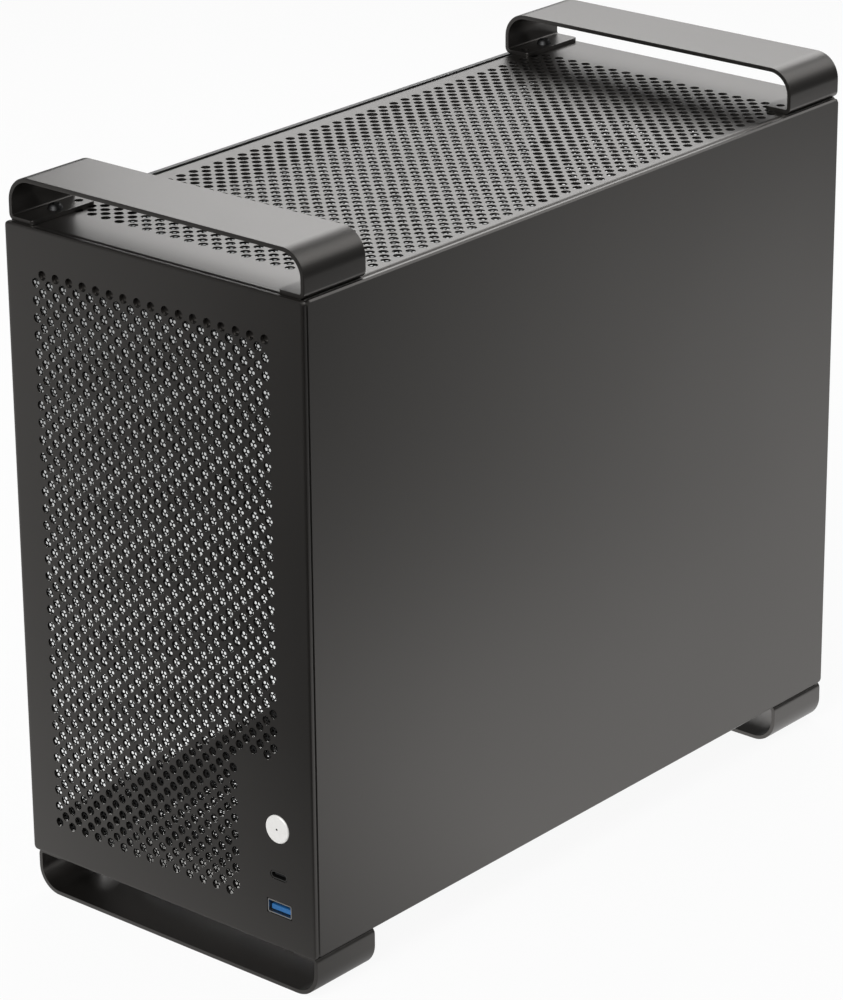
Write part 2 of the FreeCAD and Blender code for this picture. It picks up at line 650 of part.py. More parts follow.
bracket_rear = io_board_rear + s.bracket_sheet
bracket_low = inner_bottom + s.bracket_sheet
bracket_left = control_x - s.bracket_width / 2 - s.small_hole
io_screw_x = bracket_left + s.bracket_width / 2
io_screw_z = [(usb_a_z + usb_c_z) / 2, (usb_c_z + button_z) / 2]
io_board = flat_sheet("io_board", "XZ", io_board_front, s.io_board_thickness, rectangle(
    io_board_x[0], io_board_low, io_board_x[1], io_board_high))
pocket(io_board, "XZ", io_board_front, s.io_board_thickness,
       *[six_sided(io_screw_x, z, s.small_hole) for z in io_screw_z])
bracket = new_body("io_bracket")
pad(bracket, "YZ", bracket_left, s.bracket_width, [
    (io_board_rear, inner_bottom), (io_board_rear + s.bracket_foot, inner_bottom),
    (io_board_rear + s.bracket_foot, bracket_low), (bracket_rear, bracket_low),
    (bracket_rear, io_board_high), (io_board_rear, io_board_high)])
dress(bracket, "Fillet", s.bend_radius, straight_edges(
    bracket.Shape, "X", [(io_board_rear, inner_bottom)]))
dress(bracket, "Fillet", s.bend_radius - s.bracket_sheet, straight_edges(
    bracket.Shape, "X", [(bracket_rear, bracket_low)]))
pocket(bracket, "XZ", io_board_rear, s.bracket_sheet,
       *[six_sided(io_screw_x, z, s.small_hole) for z in io_screw_z])
keep(bracket, "io_bracket")
screws("io_screws", [(io_screw_x, io_board_front, z) for z in io_screw_z], Vector(0, 1, 0),
       s.small_head, s.small_head_tall, s.small_shank, s.io_board_thickness + s.bracket_sheet)

# Board tray: a plate stood off from the solid panel, with offset bends along its top and bottom
# that lie against the trays' side lips.
flange_inside = inner_right - s.tray_sheet
tray_high = body_top - s.top_side_lip - s.seam
tray_low = body_bottom + s.bottom_side_lip + s.seam
tray_back = tray_face + s.tray_sheet
tray = new_body("motherboard_tray")
pad(tray, "XZ", tray_front, tray_flange_end - tray_front, [
    (inner_right, tray_high + s.tray_flange), (flange_inside, tray_high + s.tray_flange),
    (flange_inside, tray_high), (tray_face, tray_high), (tray_face, tray_low),
    (flange_inside, tray_low), (flange_inside, tray_low - s.tray_flange),
    (inner_right, tray_low - s.tray_flange), (inner_right, tray_low + s.tray_sheet),
    (tray_back, tray_low + s.tray_sheet), (tray_back, tray_high - s.tray_sheet),
    (inner_right, tray_high - s.tray_sheet)])
dress(tray, "Fillet", s.bend_radius, straight_edges(tray.Shape, "Y", [
    (tray_face, tray_high), (tray_face, tray_low),
    (inner_right, tray_high - s.tray_sheet), (inner_right, tray_low + s.tray_sheet)]))
pad(tray, "YZ", tray_face, s.tray_sheet, rectangle(
    tray_flange_end - s.bend_radius, tray_low + s.rear_flange, board_rear, tray_high - s.rear_flange))
psu_back = tray_front + s.psu_flange
psu_low = body_bottom + s.psu_height
psu_high = psu_low + s.psu_plate_tall
psu_screw_y = tray_front + s.psu_flange / 2
psu_screw_z = [psu_low + s.psu_plate_tall / 4, psu_high - s.psu_plate_tall / 4]
pocket(tray, "YZ", tray_face, s.tray_sheet,
       *[six_sided(psu_screw_y, z, s.small_hole) for z in psu_screw_z])
keep(tray, "motherboard_tray")

# Standoffs: hexagonal pillars at the hole positions of a 244 mm square board, given from the
# board's rear edge and its top edge as the board standard sets them.
BOARD_HOLES = [(33.02, 6.35), (165.1, 6.35), (237.49, 6.35),
               (10.16, 163.83), (165.1, 163.83), (237.49, 163.83),
               (10.16, 209.55), (165.1, 209.55), (237.49, 209.55)]


def pillar(y, z):
    sides = 6
    radius = s.standoff_width.value / 2 / cos(pi / sides)
    length = s.standoff_height.value
    rim_points = [Vector(tray_face.value - length, y + radius * cos(2 * pi * side / sides),
                         z + radius * sin(2 * pi * side / sides)) for side in range(sides + 1)]
    prism = Part.Face(Part.makePolygon(rim_points)).extrude(Vector(length, 0, 0))
    return prism.cut(Part.makeCylinder(
        s.standoff_bore.value / 2, length, Vector(tray_face.value - length, y, z), Vector(1, 0, 0)))


shape_piece("standoffs", Part.makeCompound(
    [pillar(board_rear.value - back, board_top.value - down) for back, down in BOARD_HOLES]))

# Rear pan: a sheet with four flanges folded forwards, set in from the ends of the trays. It holds
# the connector opening, four expansion slots, a 92 mm fan vent and the mains inlet.
rear_height = (inner_bottom, inner_top)
pan = new_body("rear_panel")
pad(pan, "XZ", rear_inside - s.rear_flange, s.rear_flange + s.sheet, rectangle(
    inner_left, rear_height[0], inner_right, rear_height[1]))
dress(pan, "Fillet", s.bend_radius, level_edges(pan.Shape, "Y", rear_outside))
pocket(pan, "XZ", rear_inside - s.rear_flange, s.rear_flange, rectangle(
    inner_left + s.sheet, rear_height[0] + s.sheet, inner_right - s.sheet, rear_height[1] - s.sheet))
io_right = board_face + s.io_below_board
io_top = board_top + s.io_above_edge
slot_right = board_face + s.slot_root
slot_left = slot_right - s.slot_length
ledge_face = slot_left - s.slot_root - s.sheet
slot_centres = [board_top - s.slot_first - s.slot_pitch * index for index in range(4)]
slot_tops = slot_centres[0] + s.slot_pitch / 2
slot_bottoms = slot_centres[3] - s.slot_pitch / 2
tab_notch = ledge_face - s.slot_cover_sheet - s.seam
io_left = io_right - s.io_width
fan_frame = io_left - inner_left - 2 * s.fan_clearance
fan_vent = fan_frame - 2 * s.fan_vent_inset
fan_x = (inner_left + io_left) / 2
fan_z = body_top - s.fan_from_top
inlet_x = chassis_left + s.inlet_from_glass
inlet_z = slot_tops + s.inlet_clearance + s.inlet_flange_tall / 2
fan_reach = fan_frame / 2 - s.fan_hole_inset
inlet_reach = s.inlet_spacing / 2
ledge_hole_y = rear_outside + s.slot_ledge / 2
pocket(pan, "XZ", rear_inside, s.sheet,
       rectangle(io_left, io_top - s.io_length, io_right, io_top),
       *[rectangle(slot_left, z - s.slot_opening / 2, slot_right, z + s.slot_opening / 2)
         for z in slot_centres],
       rectangle(tab_notch, slot_bottoms, ledge_face, slot_tops),
       around(inlet_x, inlet_z, s.inlet_width + 2 * s.seam, s.inlet_tall + 2 * s.seam),
       *[circle(fan_x + a * fan_reach, fan_z + b * fan_reach, s.fan_hole) for a in (-1, 1) for b in (-1, 1)],
       *[six_sided(inlet_x, inlet_z + a * inlet_reach, s.small_hole) for a in (-1, 1)])
pad(pan, "XY", slot_bottoms, slot_tops - slot_bottoms, rectangle(
    ledge_face, rear_inside, ledge_face + s.sheet, rear_outside + s.slot_ledge))
pocket(pan, "YZ", ledge_face, s.sheet, *[six_sided(ledge_hole_y, z, s.small_hole) for z in slot_centres])
rear_seat_y = rear_strip_y + s.strip_depth / 2
for z in (rear_height[0], rear_height[1] - s.sheet):
    pocket(pan, "XY", z, s.sheet,
           *[six_sided(x, rear_seat_y, s.screw_hole) for x in (-seat_screw_x, seat_screw_x)])
vent_field = staggered(
    (fan_x - fan_vent / 2).value, (fan_z - fan_vent / 2).value,
    (fan_x + fan_vent / 2).value, (fan_z + fan_vent / 2).value, s.vent_pitch.value)
vent_reach = (fan_vent.value - s.vent_hole.value) / 2
vent_field = [(x, z) for x, z in vent_field
              if (x - fan_x.value) ** 2 + (z - fan_z.value) ** 2 < vent_reach ** 2]
perforate("rear_panel", pan, hole_cutters(
    "rear_panel", "Y", rear_inside.value, s.sheet.value, vent_field, s.vent_hole.value))

# Slot covers: sheet strips inside the pan, each with a tab bent out through the notch onto the
# ledge, where one screw holds it.
cover_right = slot_right + s.slot_root
cover_tab = ledge_face - s.slot_cover_sheet
cover_inside = rear_inside - s.slot_cover_sheet
tab_end = rear_outside + s.slot_ledge
for index, centre in enumerate(slot_centres, start=1):
    label = "slot_cover_%d" % index
    cover = new_body(label)
    pad(cover, "XY", centre - s.slot_cover_width / 2, s.slot_cover_width, [
        (cover_right, cover_inside), (cover_right, rear_inside), (ledge_face, rear_inside),
        (ledge_face, tab_end), (cover_tab, tab_end), (cover_tab, cover_inside)])
    dress(cover, "Fillet", s.slot_cover_sheet, straight_edges(
        cover.Shape, "Z", [(cover_tab, cover_inside)]))
    pocket(cover, "YZ", cover_tab, s.slot_cover_sheet, six_sided(ledge_hole_y, centre, s.small_hole))
    keep(cover, label)
screws("slot_screws", [(cover_tab, ledge_hole_y, z) for z in slot_centres], Vector(1, 0, 0),
       s.small_head, s.small_head_tall, s.small_shank, s.slot_cover_sheet + s.sheet)

# Mains inlet: a moulded socket through the rear pan with three blades, held by two screws.
inlet_rear = rear_outside + s.inlet_flange_thickness
inlet_front = inlet_rear - s.inlet_depth
inlet = new_body("ac_inlet")
pad(inlet, "XZ", rear_outside, s.inlet_flange_thickness, around(
    inlet_x, inlet_z, s.inlet_flange_width, s.inlet_flange_tall))
dress(inlet, "Chamfer", s.panel_corner, straight_edges(inlet.Shape, "Y", corner_spots(
    inlet_x - s.inlet_flange_width / 2, inlet_z - s.inlet_flange_tall / 2,
    inlet_x + s.inlet_flange_width / 2, inlet_z + s.inlet_flange_tall / 2)))
pad(inlet, "XZ", inlet_front, inlet_rear - inlet_front, around(
    inlet_x, inlet_z, s.inlet_width, s.inlet_tall))
recess_floor = inlet_front + s.inlet_wall
pocket(inlet, "XZ", recess_floor, inlet_rear - recess_floor, around(
    inlet_x, inlet_z, s.inlet_width - 2 * s.inlet_wall, s.inlet_tall - 2 * s.inlet_wall))
pocket(inlet, "XZ", rear_outside, s.inlet_flange_thickness,
       *[six_sided(inlet_x, inlet_z + a * inlet_reach, s.small_hole) for a in (-1, 1)])
keep(inlet, "ac_inlet")
blade_spots = [(inlet_x - s.pin_offset, inlet_z - s.pin_spread),
               (inlet_x - s.pin_offset, inlet_z + s.pin_spread), (inlet_x + s.pin_offset, inlet_z)]
blades = []
for x, z in blade_spots:
    corner = Vector((x - s.pin_tall / 2).value, recess_floor.value, (z - s.pin_width / 2).value)
    blades.append(Part.makeBox(s.pin_tall.value, s.pin_length.value, s.pin_width.value, corner))
shape_piece("ac_inlet_pins", Part.makeCompound(blades))
screws("ac_inlet_screws", [(inlet_x, inlet_rear, inlet_z + a * inlet_reach) for a in (-1, 1)],
       Vector(0, -1, 0), s.small_head, s.small_head_tall, s.small_shank,
       s.inlet_flange_thickness + s.sheet + s.screw_reach)

# Power supply bracket: a plate across the case in front of the board, with a flange on the board
# tray, a stiffening lip and the screw pattern of a compact supply round its window.
psu_right = tray_face
psu_left = psu_right - s.psu_plate_width
psu_plate_front = psu_back - s.tray_sheet
psu_x = (psu_left + psu_right) / 2
psu_z = (psu_low + psu_high) / 2
carrier = new_body("psu_bracket")
pad(carrier, "XY", psu_low, s.psu_plate_tall, [
    (psu_right, tray_front), (psu_right, psu_back), (psu_left, psu_back),
    (psu_left, psu_back - s.psu_gap), (psu_left + s.tray_sheet, psu_back - s.psu_gap),
    (psu_left + s.tray_sheet, psu_plate_front), (psu_right - s.tray_sheet, psu_plate_front),
    (psu_right - s.tray_sheet, tray_front)])
dress(carrier, "Fillet", s.bend_radius, straight_edges(carrier.Shape, "Z", [
    (psu_right, psu_back), (psu_left, psu_back)]))
pocket(carrier, "XZ", psu_plate_front, s.tray_sheet,
       around(psu_x, psu_z, s.psu_window_width, s.psu_window_tall),
       *[circle(psu_x + a * s.psu_spacing_wide / 2, psu_z + b * s.psu_spacing_tall / 2, s.psu_hole)
         for a in (-1, 1) for b in (-1, 1)])
pocket(carrier, "YZ", psu_right - s.tray_sheet, s.tray_sheet,
       *[six_sided(psu_screw_y, z, s.small_hole) for z in psu_screw_z])
keep(carrier, "psu_bracket")
screws("psu_bracket_screws", [(psu_right - s.tray_sheet, psu_screw_y, z) for z in psu_screw_z],
       Vector(1, 0, 0), s.small_head, s.small_head_tall, s.small_shank, 2 * s.tray_sheet + s.screw_reach)

# Check every object, then write one file for each piece.
doc.recompute()
for item in doc.Objects:
    if "Invalid" in item.State or "Error" in item.State:
        raise RuntimeError("%s failed: %s" % (item.Label, item.State))
os.makedirs("parts", exist_ok=True)
for piece in finished:
    if piece.Shape.isNull() or not piece.Shape.isValid() or not piece.Shape.Solids:
        raise RuntimeError("%s has no sound shape" % piece.Label)
for piece in finished:
    piece.Shape.exportStep(os.path.join("parts", piece.Label + ".step"))
print("%d pieces" % len(finished))
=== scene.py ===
from math import cos, pi, radians, sin, sqrt

import bmesh
import bpy
from mathutils import Matrix, Vector


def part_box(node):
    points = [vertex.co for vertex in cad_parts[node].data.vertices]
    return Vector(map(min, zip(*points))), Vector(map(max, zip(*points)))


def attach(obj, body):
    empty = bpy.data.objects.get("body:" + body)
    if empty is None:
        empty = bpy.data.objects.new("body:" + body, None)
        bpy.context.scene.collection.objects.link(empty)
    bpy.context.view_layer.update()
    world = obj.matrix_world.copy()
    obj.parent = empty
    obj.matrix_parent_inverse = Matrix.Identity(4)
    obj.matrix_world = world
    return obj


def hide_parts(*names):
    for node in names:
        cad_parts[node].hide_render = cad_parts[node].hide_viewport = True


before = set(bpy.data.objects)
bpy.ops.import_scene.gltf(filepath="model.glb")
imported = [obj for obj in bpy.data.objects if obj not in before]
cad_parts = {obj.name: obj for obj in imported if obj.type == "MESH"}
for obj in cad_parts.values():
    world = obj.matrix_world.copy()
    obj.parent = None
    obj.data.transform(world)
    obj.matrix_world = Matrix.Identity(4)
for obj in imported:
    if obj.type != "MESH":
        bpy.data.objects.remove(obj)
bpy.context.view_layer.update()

mm = 0.001

# Bottom tray: aluminium sheet, punched all over for air and folded up along three sides.
# The lips carry the panel clips and the front plate, and the feet are screwed to its floor.
# From inside, the sheet is thinned where the dust filter lies.


class Value:
    """A shader socket that takes part in sums, so that a finish reads as a formula."""

    def __init__(self, tree, socket=None):
        self.tree = tree
        self.socket = socket

    def node(self, kind, inputs=None, output=0, stops=(), **settings):
        """Add a node: its settings and ramp stops first, then the values or links of its inputs."""
        made = self.tree.nodes.new("ShaderNode" + kind)
        for name, setting in settings.items():
            setattr(made, name, setting)
        for index, (position, colour) in enumerate(stops):
            if index > 1:
                made.color_ramp.elements.new(position)
            made.color_ramp.elements[index].position = position
            made.color_ramp.elements[index].color = (*colour, 1)
        for name, value in (inputs or {}).items():
            if isinstance(value, Value):
                self.tree.links.new(value.socket, made.inputs[name])
            else:
                made.inputs[name].default_value = value
        return Value(self.tree, made.outputs[output] if made.outputs else None)

    def math(self, operation, *others):
        return self.node("Math", dict(enumerate((self, *others))), operation=operation)

    def math_after(self, operation, first):
        """The same with this value as the second of the two."""
        return self.node("Math", {0: first, 1: self}, operation=operation)

    def mix(self, first, second):
        """Blend two colours, with this value as the share of the second."""
        colours = {6: first, 7: second}
        for slot, colour in colours.items():
            if not isinstance(colour, Value):
                colours[slot] = (*colour, 1)
        return self.node("Mix", {0: self, **colours}, output=2, data_type="RGBA")

    def noise(self, scale, detail=2.0):
        return self.node("TexNoise", {"Vector": self, "Scale": scale, "Detail": detail})

    def bump(self, strength, depth):
        return self.node("Bump", {"Height": self, "Strength": strength, "Distance": depth})

    def __add__(self, other):
        return self.math("ADD", other)

    def __radd__(self, other):
        return self.math_after("ADD", other)

    def __sub__(self, other):
        return self.math("SUBTRACT", other)

    def __rsub__(self, other):
        return self.math_after("SUBTRACT", other)

    def __mul__(self, other):
        return self.math("MULTIPLY", other)

    def __rmul__(self, other):
        return self.math_after("MULTIPLY", other)

    def __truediv__(self, other):
        return self.math("DIVIDE", other)

    def __rtruediv__(self, other):
        return self.math_after("DIVIDE", other)


def new_finish(name):
    """An empty material and the object coordinates that its formula starts from."""
    finish = bpy.data.materials.new(name)
    finish.use_nodes = True
    finish.node_tree.nodes.clear()
    return finish, Value(finish.node_tree).node("TexCoord", output="Object")


def surface(place, inputs):
    """Close a material with one surface shader."""
    place.node("OutputMaterial", {"Surface": place.node("BsdfPrincipled", inputs)})


def anodised_black(name, grain_size=0.35 * mm, shine=0.3):
    """Bead-blasted and dyed aluminium: satin, faintly warm, a little uneven from the dye bath."""
    finish, place = new_finish(name)
    grain = place.noise(1 / grain_size, 3.0)
    cloud = place.noise(11.0, 4.0)
    surface(place, {
        "Base Color": cloud.mix((0.006, 0.0055, 0.005), (0.0105, 0.0096, 0.0088)),
        "Roughness": shine + 0.05 * cloud + 0.06 * grain,
        "IOR": 1.9,
        "Specular Tint": (1.0, 0.955, 0.91, 1),
        "Normal": grain.bump(0.10, 0.05 * mm)})
    return finish


black_aluminium = anodised_black("black_anodised_aluminium")


def make_piece(name, form, finish, body, slot, *nodes):
    """Turn a finished form into a piece that rides on a body in place of CAD nodes."""
    smooth_limit = radians(35)
    for edge in form.edges:
        edge.smooth = edge.calc_face_angle(pi) < smooth_limit
    for face in form.faces:
        face.smooth = True
    mesh = bpy.data.meshes.new(name)
    form.to_mesh(mesh)
    form.free()
    mesh.materials.append(finish)
    piece = bpy.data.objects.new(name, mesh)
    bpy.context.collection.objects.link(piece)
    even = piece.modifiers.new("even_shading", "WEIGHTED_NORMAL")
    even.keep_sharp = True
    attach(piece, body)
    if nodes:
        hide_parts(*nodes)


def join(form, *others):
    """Move other forms into this one."""
    for other in others:
        mesh = bpy.data.meshes.new("moving")
        other.to_mesh(mesh)
        other.free()
        form.from_mesh(mesh)
        bpy.data.meshes.remove(mesh)
    return form


def move(form, matrix):
    bmesh.ops.transform(form, matrix=matrix, verts=form.verts[:])
    return form


def everything(form):
    return form.verts[:] + form.edges[:] + form.faces[:]


weld = 0.01 * mm


def hole_row(pitch, hole, count):
    """A row of round holes along X, each in a square cell that stands on its corner."""
    hole_sides = 12
    form = bmesh.new()
    bmesh.ops.create_circle(form, radius=pitch / 2, segments=4)
    bmesh.ops.subdivide_edges(form, edges=form.edges[:], cuts=hole_sides // 4 - 1)
    bmesh.ops.create_circle(form, radius=hole / 2, segments=hole_sides)
    rim = hole / 2 + weld
    for edge in form.edges:
        edge.seam = all(vert.co.length < rim for vert in edge.verts)
    bmesh.ops.bridge_loops(form, edges=form.edges[:])
    bmesh.ops.spin(form, geom=everything(form), axis=(0, 0, 1), dvec=(pitch, 0, 0), angle=0,
                   steps=count - 1, use_duplicate=True)
    return form


def hole_field(pitch, hole, count, pairs, onward, short=0):
    """Pairs of rows: the second starts half a pitch to the left, or to the right if a hole short."""
    aside = Matrix.Translation(((short - 0.5) * pitch, onward * pitch / 2, 0))
    form = join(hole_row(pitch, hole, count), move(hole_row(pitch, hole, count - short), aside))
    bmesh.ops.spin(form, geom=everything(form), axis=(0, 0, 1), dvec=(0, onward * pitch, 0), angle=0,
                   steps=pairs - 1, use_duplicate=True)
    return form


def rim_sheet(left, low, right, high, border, corner=0.0, cuts=0):
    """The clear border of a flat sheet in XY, open in the middle; cuts divide its inner edges."""
    form = bmesh.new()
    bmesh.ops.create_grid(form, x_segments=1, y_segments=1, size=0.5)
    bmesh.ops.scale(form, vec=(right - left, high - low, 1), verts=form.verts[:])
    if corner:
        bmesh.ops.bevel(form, geom=form.verts[:], offset=corner, segments=5, profile=0.5,
                        affect="VERTICES", material=-1)
    bmesh.ops.inset_region(form, faces=form.faces[:], thickness=border, use_boundary=True,
                           use_even_offset=True)
    for edge in form.edges:
        edge.seam = edge.is_boundary
    middle = max(form.faces, key=lambda face: face.calc_area())
    bmesh.ops.delete(form, geom=[middle], context="FACES_ONLY")
    if cuts:
        inner = [edge for edge in form.edges if edge.is_boundary and not edge.seam]
        bmesh.ops.subdivide_edges(form, edges=inner, cuts=cuts)
    return move(form, Matrix.Translation(((left + right) / 2, (low + high) / 2, 0)))


def round_cut(form, x, y, diameter, sides=20):
    bmesh.ops.create_circle(form, radius=diameter / 2, segments=sides, matrix=Matrix.Translation((x, y, 0)))


def square_cut(form, left, low, right, high):
    place = Matrix.Translation(((left + right) / 2, (low + high) / 2, 0))
    size = Matrix.Diagonal((right - left, high - low, 1, 1))
    bmesh.ops.create_circle(form, radius=sqrt(0.5), segments=4,
                            matrix=place @ size @ Matrix.Rotation(pi / 4, 4, "Z"))


def fill_sheet(form):
    """Close the metal between the border, the cut-outs and the punched field."""
    bmesh.ops.remove_doubles(form, verts=form.verts[:], dist=weld)
    open_edges = [edge for edge in form.edges if len(edge.link_faces) < 2 and not edge.seam]
    bmesh.ops.triangle_fill(form, edges=open_edges, use_beauty=True, normal=(0, 0, 1))
    return form


def edges_where(form, test):
    return [edge for edge in form.edges if all(test(vert.co) for vert in edge.verts)]


def fold(form, edges, centre, axis, angle, bend_steps=4):
    """Bend the sheet on from some of its edges round an axis, and return the last edges."""
    turned = bmesh.ops.spin(form, geom=edges, cent=centre, axis=axis, angle=angle, steps=bend_steps)
    return [item for item in turned["geom_last"] if isinstance(item, bmesh.types.BMEdge)]


def fold_and_drop(form, edges, centre, axis, angle, drop):
    """Bend the sheet and carry it straight on as a flange."""
    last = fold(form, edges, centre, axis, angle)
    flange = bmesh.ops.extrude_edge_only(form, edges=last)["geom"]
    hem = [item for item in flange if isinstance(item, bmesh.types.BMVert)]
    bmesh.ops.translate(form, vec=drop, verts=hem)


def near(a, b, slack=0.02 * mm):
    return abs(a - b) < slack


def thicken(form, thickness, outward):
    """Give a bent sheet its gauge on the side away from outward."""
    bmesh.ops.remove_doubles(form, verts=form.verts[:], dist=weld)
    bmesh.ops.recalc_face_normals(form, faces=form.faces[:])
    form.normal_update()
    if sum(face.normal.dot(outward) * face.calc_area() for face in form.faces) < 0:
        bmesh.ops.reverse_faces(form, faces=form.faces[:])
        form.normal_update()
    facing = {vert.co.to_tuple(): vert.normal.copy() for vert in form.verts}
    shell = bmesh.ops.extrude_face_region(form, geom=form.faces[:])
    for vert in shell["geom"]:
        if isinstance(vert, bmesh.types.BMVert):
            vert.co -= thickness * facing[vert.co.to_tuple()]
    bmesh.ops.recalc_face_normals(form, faces=form.faces[:])
    return form


def stamp(node, finish):
    """Give a CAD node its finish."""
    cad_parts[node].material_slots[0].material = finish


sheet = 1.5 * mm
bend = 2 * mm
tray_pocket = 0.75 * mm
tray_border = 0.4 * mm
border_cuts = 60
lip_setback = 3 * mm
stud_radius = 2.5 * mm
stud_hole = 7 * mm
seat_hole = 4 * mm
head_radius = 3.5 * mm
edge_slack = 0.1 * mm
stands_x = Matrix(((0, 0, 1, 0), (1, 0, 0, 0), (0, 1, 0, 0), (0, 0, 0, 1)))
stands_y = Matrix.Rotation(pi / 2, 4, "X")
seat_y = [(low.y + high.y) / 2 for low, high in (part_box("front_handle"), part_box("rear_handle"))]
seat_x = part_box("handle_screws")[1].x - head_radius
stud_low, stud_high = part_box("side_panel_studs")
stud_y = (stud_low.y + stud_radius, stud_high.y - stud_radius)
stud_flat = stud_radius * cos(pi / 6)


def folded_tray(tray, field, inward, stud_z, glass_lip, side_lip, front_lip):
    """Fold one tray: inward is +1 where the lips stand up and -1 where they hang down."""
    low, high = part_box(tray)
    face = low.z if inward > 0 else high.z
    lip_left = low.x + sheet + lip_setback
    lip_right = high.x - sheet - lip_setback
    rim = rim_sheet(low.x + bend, low.y + bend, high.x - bend, high.y, tray_border, cuts=border_cuts)
    for x in (lip_left, lip_right):
        bmesh.ops.bisect_plane(rim, geom=everything(rim), plane_co=(x, 0, 0), plane_no=(1, 0, 0))
    form = join(rim, field)
    for x in (-seat_x, seat_x):
        for y in seat_y:
            round_cut(form, x, y, seat_hole)
    move(fill_sheet(form), Matrix.Translation((0, 0, face)))
    fold_z = face + inward * bend
    for x, way, lip in ((low.x, 1, glass_lip), (high.x, -1, side_lip)):
        hinge = x + way * bend
        fold(form, edges_where(form, lambda co: near(co.x, hinge) and near(co.z, face)),
             (hinge, 0, fold_z), (0, 1, 0), way * inward * pi / 2)
        flap_low, flap_high = sorted((fold_z, face + inward * lip))
        flap = rim_sheet(low.y + bend, flap_low, high.y, flap_high, sheet)
        for y in stud_y:
            round_cut(flap, y, stud_z, stud_hole)
        join(form, move(fill_sheet(flap), Matrix.Translation((x, 0, 0)) @ stands_x))
    hinge = low.y + bend
    front_edges = edges_where(form, lambda co: near(co.y, hinge) and near(co.z, face)
                              and lip_left - edge_slack < co.x < lip_right + edge_slack)
    fold_and_drop(form, front_edges, (0, hinge, fold_z), (1, 0, 0), -inward * pi / 2,
                  (0, 0, inward * (front_lip - bend)))
    thicken(form, sheet, Vector((0, 0, -inward)))
    film_low, film_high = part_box(tray.replace("panel", "dust_filter"))
    for vert in form.verts:
        over_film = film_low.x < vert.co.x < film_high.x and film_low.y < vert.co.y < film_high.y
        if over_film and near(vert.co.z, face + inward * sheet):
            vert.co.z -= inward * tray_pocket
    make_piece(tray.replace("panel", "tray"), form, black_aluminium, "case", "black_aluminium", tray)


pitch = 8 * mm
punch = 4.4 * mm
floor_columns = 17
floor_pairs = 36
floor_first = Vector((-64 * mm, -142 * mm, 0))
floor_field = move(hole_field(pitch, punch, floor_columns, floor_pairs, 1), Matrix.Translation(floor_first))
folded_tray("bottom_panel", floor_field, inward=1, stud_z=stud_low.z + stud_flat,
            glass_lip=15 * mm, side_lip=26 * mm, front_lip=15 * mm)

# Top tray: the same folded sheet turned over, punched nearly from edge to edge, also under the handles.
# Its side lips hang behind the panels and its front lip stops behind the front plate.
# Seven of its holes are punched wider, for the screws of fans below.
top_columns = 19
top_pairs = 40
top_first = Vector((-70.2 * mm, -158 * mm, 0))
top_pitch = 8.15 * mm
top_stretch = Matrix.Diagonal((top_pitch / pitch, 1, 1, 1))
top_field = hole_field(pitch, punch, top_columns, top_pairs, 1, short=1)
move(top_field, Matrix.Translation(top_first) @ top_stretch)
wide_punch = 5.4 * mm
wide_columns = [top_first.x + steps * top_pitch for steps in (0.5, 11.5)]
wide_rows = (-58 * mm, 30 * mm, 46 * mm)
last_wide_row = 134 * mm
wide_spots = [Vector((x, y, 0)) for x in wide_columns for y in wide_rows]
wide_spots.append(Vector((wide_columns[1], last_wide_row, 0)))
for spot in wide_spots:
    for vert in top_field.verts:
        from_spot = vert.co - spot
        if near(from_spot.length, punch / 2, edge_slack):
            vert.co = spot + from_spot * wide_punch / punch
folded_tray("top_panel", top_field, inward=-1, stud_z=stud_high.z - stud_flat,
            glass_lip=17 * mm, side_lip=28 * mm, front_lip=24 * mm)

# Front plate: 2 mm aluminium with a softened rim, punched nearly edge to edge.
# One corner stays bare for the button and the two sockets, which sit in close cut-outs.
# From behind, it is thinned where the dust filter lies.
plate_low, plate_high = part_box("front_panel")
body_bottom = plate_low.z
plate_rim = 0.6 * mm
plate_corner = 2 * mm
plate_border = plate_corner * 0.8
plate_reach = plate_corner * 1.1
first_column = -64 * mm
first_row = body_bottom + 278.5 * mm
full_columns = 17
full_pairs = 24
short_columns = 14
short_pairs = 9
button_low, button_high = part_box("power_button")
control_x = (button_low.x + button_high.x) / 2
button_z = (button_low.z + button_high.z) / 2
usb_a_low, usb_a_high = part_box("usb_a_shell")
usb_c_low, usb_c_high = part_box("usb_c_shell")
button_play = 0.5 * mm
socket_gap = 0.3 * mm
plate = rim_sheet(plate_low.x, plate_low.z, plate_high.x, plate_high.z, plate_border, plate_corner)
upper = hole_field(pitch, punch, full_columns, full_pairs, -1)
lower = hole_field(pitch, punch, short_columns, short_pairs, -1)
join(plate, move(upper, Matrix.Translation((first_column, first_row, 0))),
     move(lower, Matrix.Translation((first_column, first_row - full_pairs * pitch, 0))))
round_cut(plate, control_x, button_z, button_high.x - button_low.x + button_play, sides=40)
square_cut(plate, usb_a_low.x - socket_gap, usb_a_low.z - socket_gap,
           usb_a_high.x + socket_gap, usb_a_high.z + socket_gap)
oval_tall = usb_c_high.z - usb_c_low.z + 2 * socket_gap
oval_reach = (usb_c_high.x - usb_c_low.x + 2 * socket_gap - oval_tall) / 2
oval_sides = 20
oval_place = Matrix.Translation((control_x, (usb_c_low.z + usb_c_high.z) / 2, 0))
oval_turn = Matrix.Rotation(pi / oval_sides, 4, "Z")
oval = bmesh.ops.create_circle(plate, radius=oval_tall / 2, segments=oval_sides,
                               matrix=oval_place @ oval_turn)["verts"]
for way in (-1, 1):
    half = [vert for vert in oval if (vert.co.x - control_x) * way > 0]
    bmesh.ops.translate(plate, vec=(way * oval_reach, 0, 0), verts=half)
move(fill_sheet(plate), Matrix.Translation((0, plate_low.y, 0)) @ stands_y)
thicken(plate, plate_high.y - plate_low.y, Vector((0, -1, 0)))
filter_low, filter_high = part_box("front_dust_filter")
filter_pocket = 0.8 * mm
notch_wide = 20 * mm
notch_tall = 84.5 * mm
